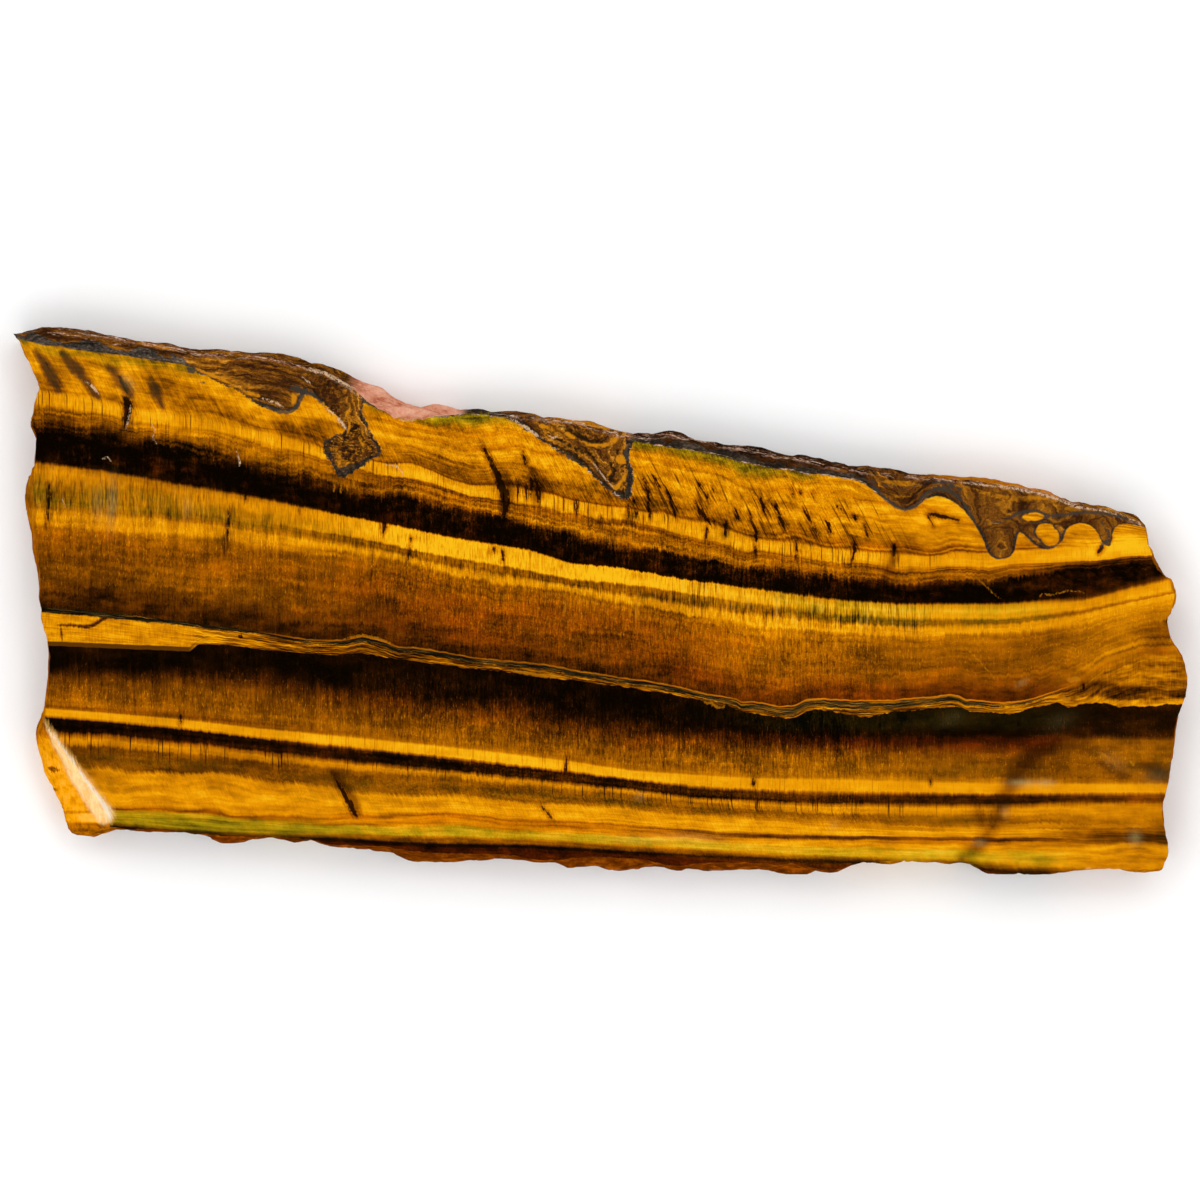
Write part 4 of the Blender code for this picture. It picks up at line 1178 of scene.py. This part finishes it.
# The host rock from left to right, in grid steps: tone, how strongly it is striped,
# and how far the stripes follow the lower outline instead of the rim.
rockManner = [(0, (0.34, 0.75, 0.0)), (180, (0.44, 0.80, 0.0)), (215, (0.50, 0.95, 0.0)), (300, (0.42, 0.90, 0.1)),
              (325, (0.40, 1.00, 0.4)), (385, (0.42, 1.00, 0.6)), (400, (0.34, 0.80, 0.4)), (500, (0.34, 0.80, 0.5)),
              (550, (0.51, 1.00, 1.0)), (625, (0.52, 1.00, 1.0)), (636, (0.16, 0.80, 0.2)), (850, (0.20, 0.80, 0.2)),
              (872, (0.37, 0.95, 0.9)), (930, (0.38, 1.00, 0.9)), (985, (0.42, 0.90, 0.6)), (1040, (0.50, 0.85, 0.5)),
              (1080, (0.52, 0.85, 0.4)), (1200, (0.46, 0.80, 0.2))]


def hostRockOver(board, stone):  # the rough brown rock that the fibres grew from, in a dark rind
    right, down, deep, grain = stone["right"], stone["down"], stone["deep"], stone["grain"]
    wander = board.noise(board.vector(right / 22, down / 16, deep / 30 + 5), 2.0, 0.6) - 0.5
    bend = stone["shift"]
    crumb = board.noise(board.vector(right / 2.8, down / 1.9, deep / 3), 1.0, 0.6) - 0.5
    loose = right.rise(180, 200) * right.rise(640, 625)
    inside = stone["host"] + wander * (4 + loose * 6) + bend * (2 + loose * 5) + crumb * (0.9 + loose * 1.3)
    stops = [(place / 1200, values) for place, values in rockManner]
    manners = board.make("ShaderNodeSeparateColor", {}, {"Color": board.ramp(right / 1200, stops)})
    shade, swirl, follow = manners, manners.output("Green"), manners.output("Blue")
    fromRim = board.reading("rimGap")
    course = (inside * follow + fromRim * (1 - follow) + bend * 1.5) / 4.4 + wander * 2.4
    stripes = board.noise(board.vector(right / 34, course, deep / 30), 3.0, 0.7) - 0.5
    tone = shade + stripes * (0.6 + swirl * 1.5) + crumb * (0.08 + loose * 0.25) + (grain - 0.5) * 0.22
    sparkle = crumb.rise(0.07, 0.18) * right.ridge(352, 34, 8) * down.rise(400, 420) * 0.42
    rock = board.mix(sparkle, board.ramp(tone, tinted(rockTones)), (*tint(216, 140, 24), 1))
    jitter = bend * 4 + crumb * 1.8
    strokes = [("rockGold", (214, 136, 16), 0.85), ("rockStroke", (28, 19, 10), 0.90), ("rockRibbon", (62, 57, 48), 0.85)]
    drawn = [((board.reading(name) + jitter).rise(1.0, -0.8) * share, (*tint(*colour), 1)) for name, colour, share in strokes]
    drawn[0] = (drawn[0][0] * (1 - right.rise(850, 870) * (0.45 - stripes * 1.2)), drawn[0][1])
    for share, colour in drawn[:2]:
        rock = board.mix(share, rock, colour)
    rindColour = board.ramp(stripes + crumb * 0.5 + 0.5, tinted([(0.30, (24, 22, 19)), (0.47, (54, 50, 44)),
                                                                 (0.60, (84, 76, 66)), (0.78, (136, 120, 104))]))
    rindColour = board.mix(right.rise(200, 215) * (0.6 - right.rise(845, 870) * 0.1), rindColour, (*tint(30, 22, 12), 1))
    width = board.reading("rind") * (wander.rise(-0.12, 0.10) * 0.8 + 0.5) * (1 - right.rise(855, 875) * 0.3)
    rock = board.mix((width + crumb * 2 - inside).rise(-0.8, 1.0) * 0.92, rock, rindColour)
    patch = board.noise(board.vector(right / 16, fromRim / 2.4, deep / 9), 2.0, 0.7) - 0.5
    flaked = right.rise(60, 120) * (fromRim + patch * 16).rise(6, 1) * patch.rise(-0.04, 0.08)
    speckled = right.rise(195, 180) * patch.rise(0.06, 0.16) * inside.rise(7, 10) * 0.55
    edged = inside.ridge(0.6, 0.4, 0.8) * patch.rise(0.0, 0.12) * right.ridge(690, 180, 30) * 0.8
    flakes = board.ramp(crumb + 0.5, tinted([(0.3, (134, 86, 58)), (0.5, (206, 160, 130)), (0.68, (244, 222, 200))]))
    rock = board.mix((flaked * 0.85).most(edged).most(speckled), rock, flakes)
    stone["rough"] = inside.rise(-0.6, 0.7)
    colour = board.mix(inside.rise(-0.8, 0.8), stone["colour"], rock)
    return board.mix(*drawn[2][:1], colour, drawn[2][1])


def veinsOver(board, stone):  # fine golden and whitish veins, and a painted highlight along the chip's ridge
    grain, shift, read = (stone["grain"] - 0.5) * 3, stone["shift"], board.reading
    broken = (shift + (stone["grain"] - 0.5) * 0.5).rise(-0.10, 0.04)
    veined = (read("goldVein") + shift * 3 + grain).rise(0.8, -0.4) * 0.5
    colour = board.mix(veined, stone["colour"], (*tint(206, 128, 18), 1))
    pale = (read("paleVein") + shift * 3 + (stone["fineFibre"] - 0.5) * 3 + grain * 0.6).rise(0.8, -0.5) * broken
    colour = board.mix(pale * 0.8, colour, (*tint(230, 192, 150), 1))
    # Painted highlight along the chip's ridge: a warm pale glow, then a whitish core.
    chipHighlight = read("chipRidge") + (stone["fineFibre"] - 0.5) * 6 + grain
    colour = board.mix(chipHighlight.rise(4.0, -1.5) * 0.6, colour, (*tint(248, 186, 90), 1))
    stone["rough"] = stone["rough"].most(stone["cracked"]).most(pale)
    return board.mix(chipHighlight.rise(0.5, -4.0) * 0.85, colour, (*tint(250, 232, 205), 1))


def patternGroup():  # the whole pattern, built once for the three finishes
    tree = bpy.data.node_groups.new("stonePattern", "ShaderNodeTree")
    board = Board(tree)
    stone = stonePattern(board)
    names = ("colour", "rough", "right", "down", "deep", "layer")
    for name in names:
        kind = "NodeSocketColor" if name == "colour" else "NodeSocketFloat"
        tree.interface.new_socket(name, in_out="OUTPUT", socket_type=kind)
    board.make("NodeGroupOutput", {}, {name: stone[name] for name in names})
    return tree


def newMaterial(name, pattern=None):
    material = bpy.data.materials.new(name)
    material.use_nodes = True
    material.node_tree.nodes.clear()
    board = Board(material.node_tree)
    if pattern is None:
        return material, board
    group = board.make("ShaderNodeGroup", {"node_tree": pattern}, {})
    return material, board, {socket.name: group.output(socket.name) for socket in group.node.outputs}


def finish(board, inputs):
    shader = board.make("ShaderNodeBsdfPrincipled", {}, inputs)
    board.make("ShaderNodeOutputMaterial", {}, {"Surface": shader})


def polishedFace(pattern):
    material, board, stone = newMaterial("polished_tigers_eye", pattern)
    inputs = {"Base Color": stone["colour"], "Roughness": 0.42, "Specular IOR Level": 0.0,
              "Coat Weight": 1 - stone["rough"] * 0.85, "Coat Roughness": 0.04}
    finish(board, inputs)
    return material


def brokenSides(pattern):  # silky fibres at both ends, rock along the top and jasper below
    material, board, stone = newMaterial("broken_tigers_eye", pattern)
    right, down, deep, layer = stone["right"], stone["down"], stone["deep"], stone["layer"]
    splinter = board.noise(board.vector(right / 3, down / 26, deep / 2.2), 3.0, 0.6)
    lump = board.noise(board.vector(right / 14, down / 9, deep / 8), 4.0, 0.6)
    silk = board.ramp(splinter + (lump - 0.5) * 0.5, tinted([(0.25, (96, 44, 0)), (0.5, (172, 92, 4)), (0.75, (222, 142, 22))]))
    ends = right.rise(150, 90).most(right.rise(1040, 1120)) * layer.rise(440, 470)
    colour = board.mix(ends * 0.62, stone["colour"], silk)
    jasper = board.ramp(lump + (splinter - 0.5) * 0.3, tinted([(0.25, (50, 20, 0)), (0.5, (122, 56, 2)), (0.75, (190, 96, 8))]))
    below = layer.rise(849, 853) * right.rise(110, 150) * right.rise(905, 875)
    colour = board.mix(below, colour, jasper)
    facet = splinter * 0.35 + lump * 0.65 - down.rise(752, 728) * 0.3 - down.ridge(812.5, 0.4, 2.4) * 0.17 - down.rise(820, 825) * 0.3
    facet = facet - stone["rough"] * 0.45 + right.rise(70, 96) * down.ridge(818, 3, 3) * 0.2
    # Painted light: the facet's own golden stone colour, raised past white so that the tilted facet looks as brightly
    # lit as the level face.
    litChipFacet = board.ramp(facet, tinted([(0.1, (120, 66, 2)), (0.3, (224, 128, 0)), (0.5, (276, 182, 8)), (0.75, (284, 210, 80))]))
    # The chip's facet, and a painted highlight along its ridge.
    chipped, chipHighlight = right.rise(122, 104) * down.rise(708, 722), board.reading("chipRidge").rise(1, -4.5)
    colour = board.mix(chipped * (1 - chipHighlight) * 0.82, colour, litChipFacet)
    # The painted highlight's colours, raised past white so that they stay bright on the shaded facet.
    pale = board.ramp(splinter * 0.6 + lump * 0.4, tinted([(0.3, (276, 190, 80)), (0.55, (284, 240, 168))]))
    colour = board.mix(chipped * chipHighlight * 0.85, colour, pale)
    pink = board.ramp(lump + (splinter - 0.5) * 0.4, tinted([(0.25, (170, 84, 48)), (0.48, (226, 150, 118)), (0.75, (246, 190, 160))]))
    pinkShare = right.rise(345, 362) * right.rise(470, 455) * layer.rise(470, 446)
    colour = board.mix(pinkShare, colour, pink)
    glint = board.noise(board.vector(right / 6, down / 2.4, deep / 3), 2.0, 0.7).rise(0.54, 0.62) * layer.rise(470, 446)
    glint = glint * (deep.rise(34, 58) * 0.85 + 0.15) * (right.ridge(690, 180, 30) * 0.7 + right.rise(200, 120) * 0.3 + right.ridge(230, 50, 20) * 0.6)
    colour = board.mix(glint, colour, (*tint(224, 184, 158), 1))
    crumbs = board.ramp(splinter * 0.6 + lump * 0.4, tinted([(0.3, (150, 70, 4)), (0.5, (214, 124, 14)), (0.75, (232, 168, 60))]))
    colour = board.mix(right.rise(900, 960) * right.rise(1080, 1050) * layer.rise(450, 438) * 0.7, colour, crumbs)
    bump = board.make("ShaderNodeBump", {}, {"Height": splinter + lump, "Strength": 0.35, "Distance": 0.0004})
    finish(board, {"Base Color": colour, "Roughness": 0.55 + (lump - 0.5) * 0.4, "Normal": bump,
                   "Specular IOR Level": 0.0})
    return material


def sawnBack(pattern):  # the same layers, dull from the saw
    material, board, stone = newMaterial("sawn_tigers_eye", pattern)
    right, down = stone["right"], stone["down"]
    turned = right * 0.94 + down * 0.34
    marks = board.noise(board.vector(turned / 3.2, (down * 0.94 - right * 0.34) / 400), 2.0, 0.6)
    powder = board.noise(board.vector(right / 5, down / 5), 4.0, 0.65)
    dull = board.mix(0.16 + powder * 0.14, stone["colour"], (*tint(150, 116, 78), 1))
    colour = board.mix(marks.rise(0.42, 0.62) * 0.22, dull, (*tint(190, 160, 120), 1))
    bump = board.make("ShaderNodeBump", {}, {"Height": marks + powder * 0.4, "Strength": 0.25, "Distance": 0.0002})
    finish(board, {"Base Color": colour, "Roughness": 0.62 + (powder - 0.5) * 0.3, "Normal": bump,
                   "Specular IOR Level": 0.3})
    return material


def makeSlab():
    raw = slabMesh()
    addReadings(raw, {**stoneReadings(raw), **sideShares(raw)})
    addBakeMap(raw)
    kinds = np.array([face.material_index for face in raw.polygons], np.int32)
    raw.attributes.new("surfaceKind", "INT", "FACE").data.foreach_set("value", kinds)
    pattern = patternGroup()
    mesh = withRelief(raw, [polishedFace(pattern), brokenSides(pattern), sawnBack(pattern)])
    for name in ("surfaceKind", "sideShare", "faceShare"):
        mesh.attributes.remove(mesh.attributes[name])
    mesh.shade_smooth()
    mesh.set_sharp_from_angle(angle=math.radians(38))
    mesh.name = slab["name"]
    piece = bpy.data.objects.new(slab["name"], mesh)
    bpy.context.scene.collection.objects.link(piece)
    return piece


# ---- floor, lights and camera ----
studio = {"floorRadius": 1.8, "bendRadius": 0.6, "wallHeight": 1.3, "floorColour": (0.87, 0.87, 0.87),
          "cameraDistance": 1.5, "frame": 1200, "sensor": 36.0}


def makeFloor():  # a disc that curves up into a wall
    bend = studio["bendRadius"]
    profile = [(0.0, 0.0), (0.4, 0.0), (studio["floorRadius"] - bend, 0.0)]
    for i in range(1, 13):
        turn = math.radians(90 * i / 12)
        profile.append((studio["floorRadius"] - bend + bend * math.sin(turn), bend - bend * math.cos(turn)))
    profile.append((studio["floorRadius"], studio["wallHeight"]))
    shell = bmesh.new()
    corners = [shell.verts.new((radius, 0, height - 0.0002)) for radius, height in profile]
    edges = [shell.edges.new(pair) for pair in zip(corners, corners[1:])]
    bmesh.ops.spin(shell, geom=corners + edges, axis=(0, 0, 1), cent=(0, 0, 0), steps=96, angle=2 * math.pi)
    bmesh.ops.remove_doubles(shell, verts=shell.verts, dist=1e-5)
    bmesh.ops.recalc_face_normals(shell, faces=shell.faces)
    if sum(face.normal.z for face in shell.faces) < 0:
        bmesh.ops.reverse_faces(shell, faces=shell.faces)
    mesh = bpy.data.meshes.new("studio_floor")
    shell.to_mesh(mesh)
    shell.free()
    mesh.shade_smooth()
    floor = bpy.data.objects.new("studio_floor", mesh)
    bpy.context.scene.collection.objects.link(floor)
    material, board = newMaterial("studio_floor")
    finish(board, {"Base Color": (*studio["floorColour"], 1.0), "Roughness": 0.9, "Specular IOR Level": 0.0})
    mesh.materials.append(material)
    return floor


def makeLights():
    world = bpy.data.worlds.new("studio")
    bpy.context.scene.world = world
    world.use_nodes = True
    back = world.node_tree.nodes["Background"]
    back.inputs["Strength"].default_value = lighting["world"]
    for i in range(lighting["softboxes"]):
        turn = 2 * math.pi * (i + 0.5) / lighting["softboxes"]
        light = bpy.data.lights.new(f"softbox_{i + 1}", "AREA")
        light.energy, light.size = lighting["softbox"], lighting["softboxSize"]
        box = bpy.data.objects.new(light.name, light)
        place = Vector((math.cos(turn), math.sin(turn), 0)) * lighting["softboxDistance"]
        place.z = lighting["softboxHeight"]
        box.location = place
        box.rotation_euler = (-place).to_track_quat("-Z", "Y").to_euler()
        bpy.context.scene.collection.objects.link(box)


def makeCamera():  # straight above the polished face
    lens = bpy.data.cameras.new("camera")
    lens.sensor_width = studio["sensor"]
    lens.lens = studio["sensor"] * studio["cameraDistance"] / (studio["frame"] * slab["gridStep"])
    camera = bpy.data.objects.new("camera", lens)
    camera.location = (0, 0, thickness + studio["cameraDistance"])
    bpy.context.scene.collection.objects.link(camera)
    bpy.context.scene.camera = camera


bpy.context.scene.view_settings.view_transform = "Standard"
makeCamera()
makeLights()
floor = makeFloor()
print("floor, lights and camera ready")

piece = makeSlab()
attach(piece, "root")
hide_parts(slab["node"])
print("slab made:", len(piece.data.polygons), "faces")
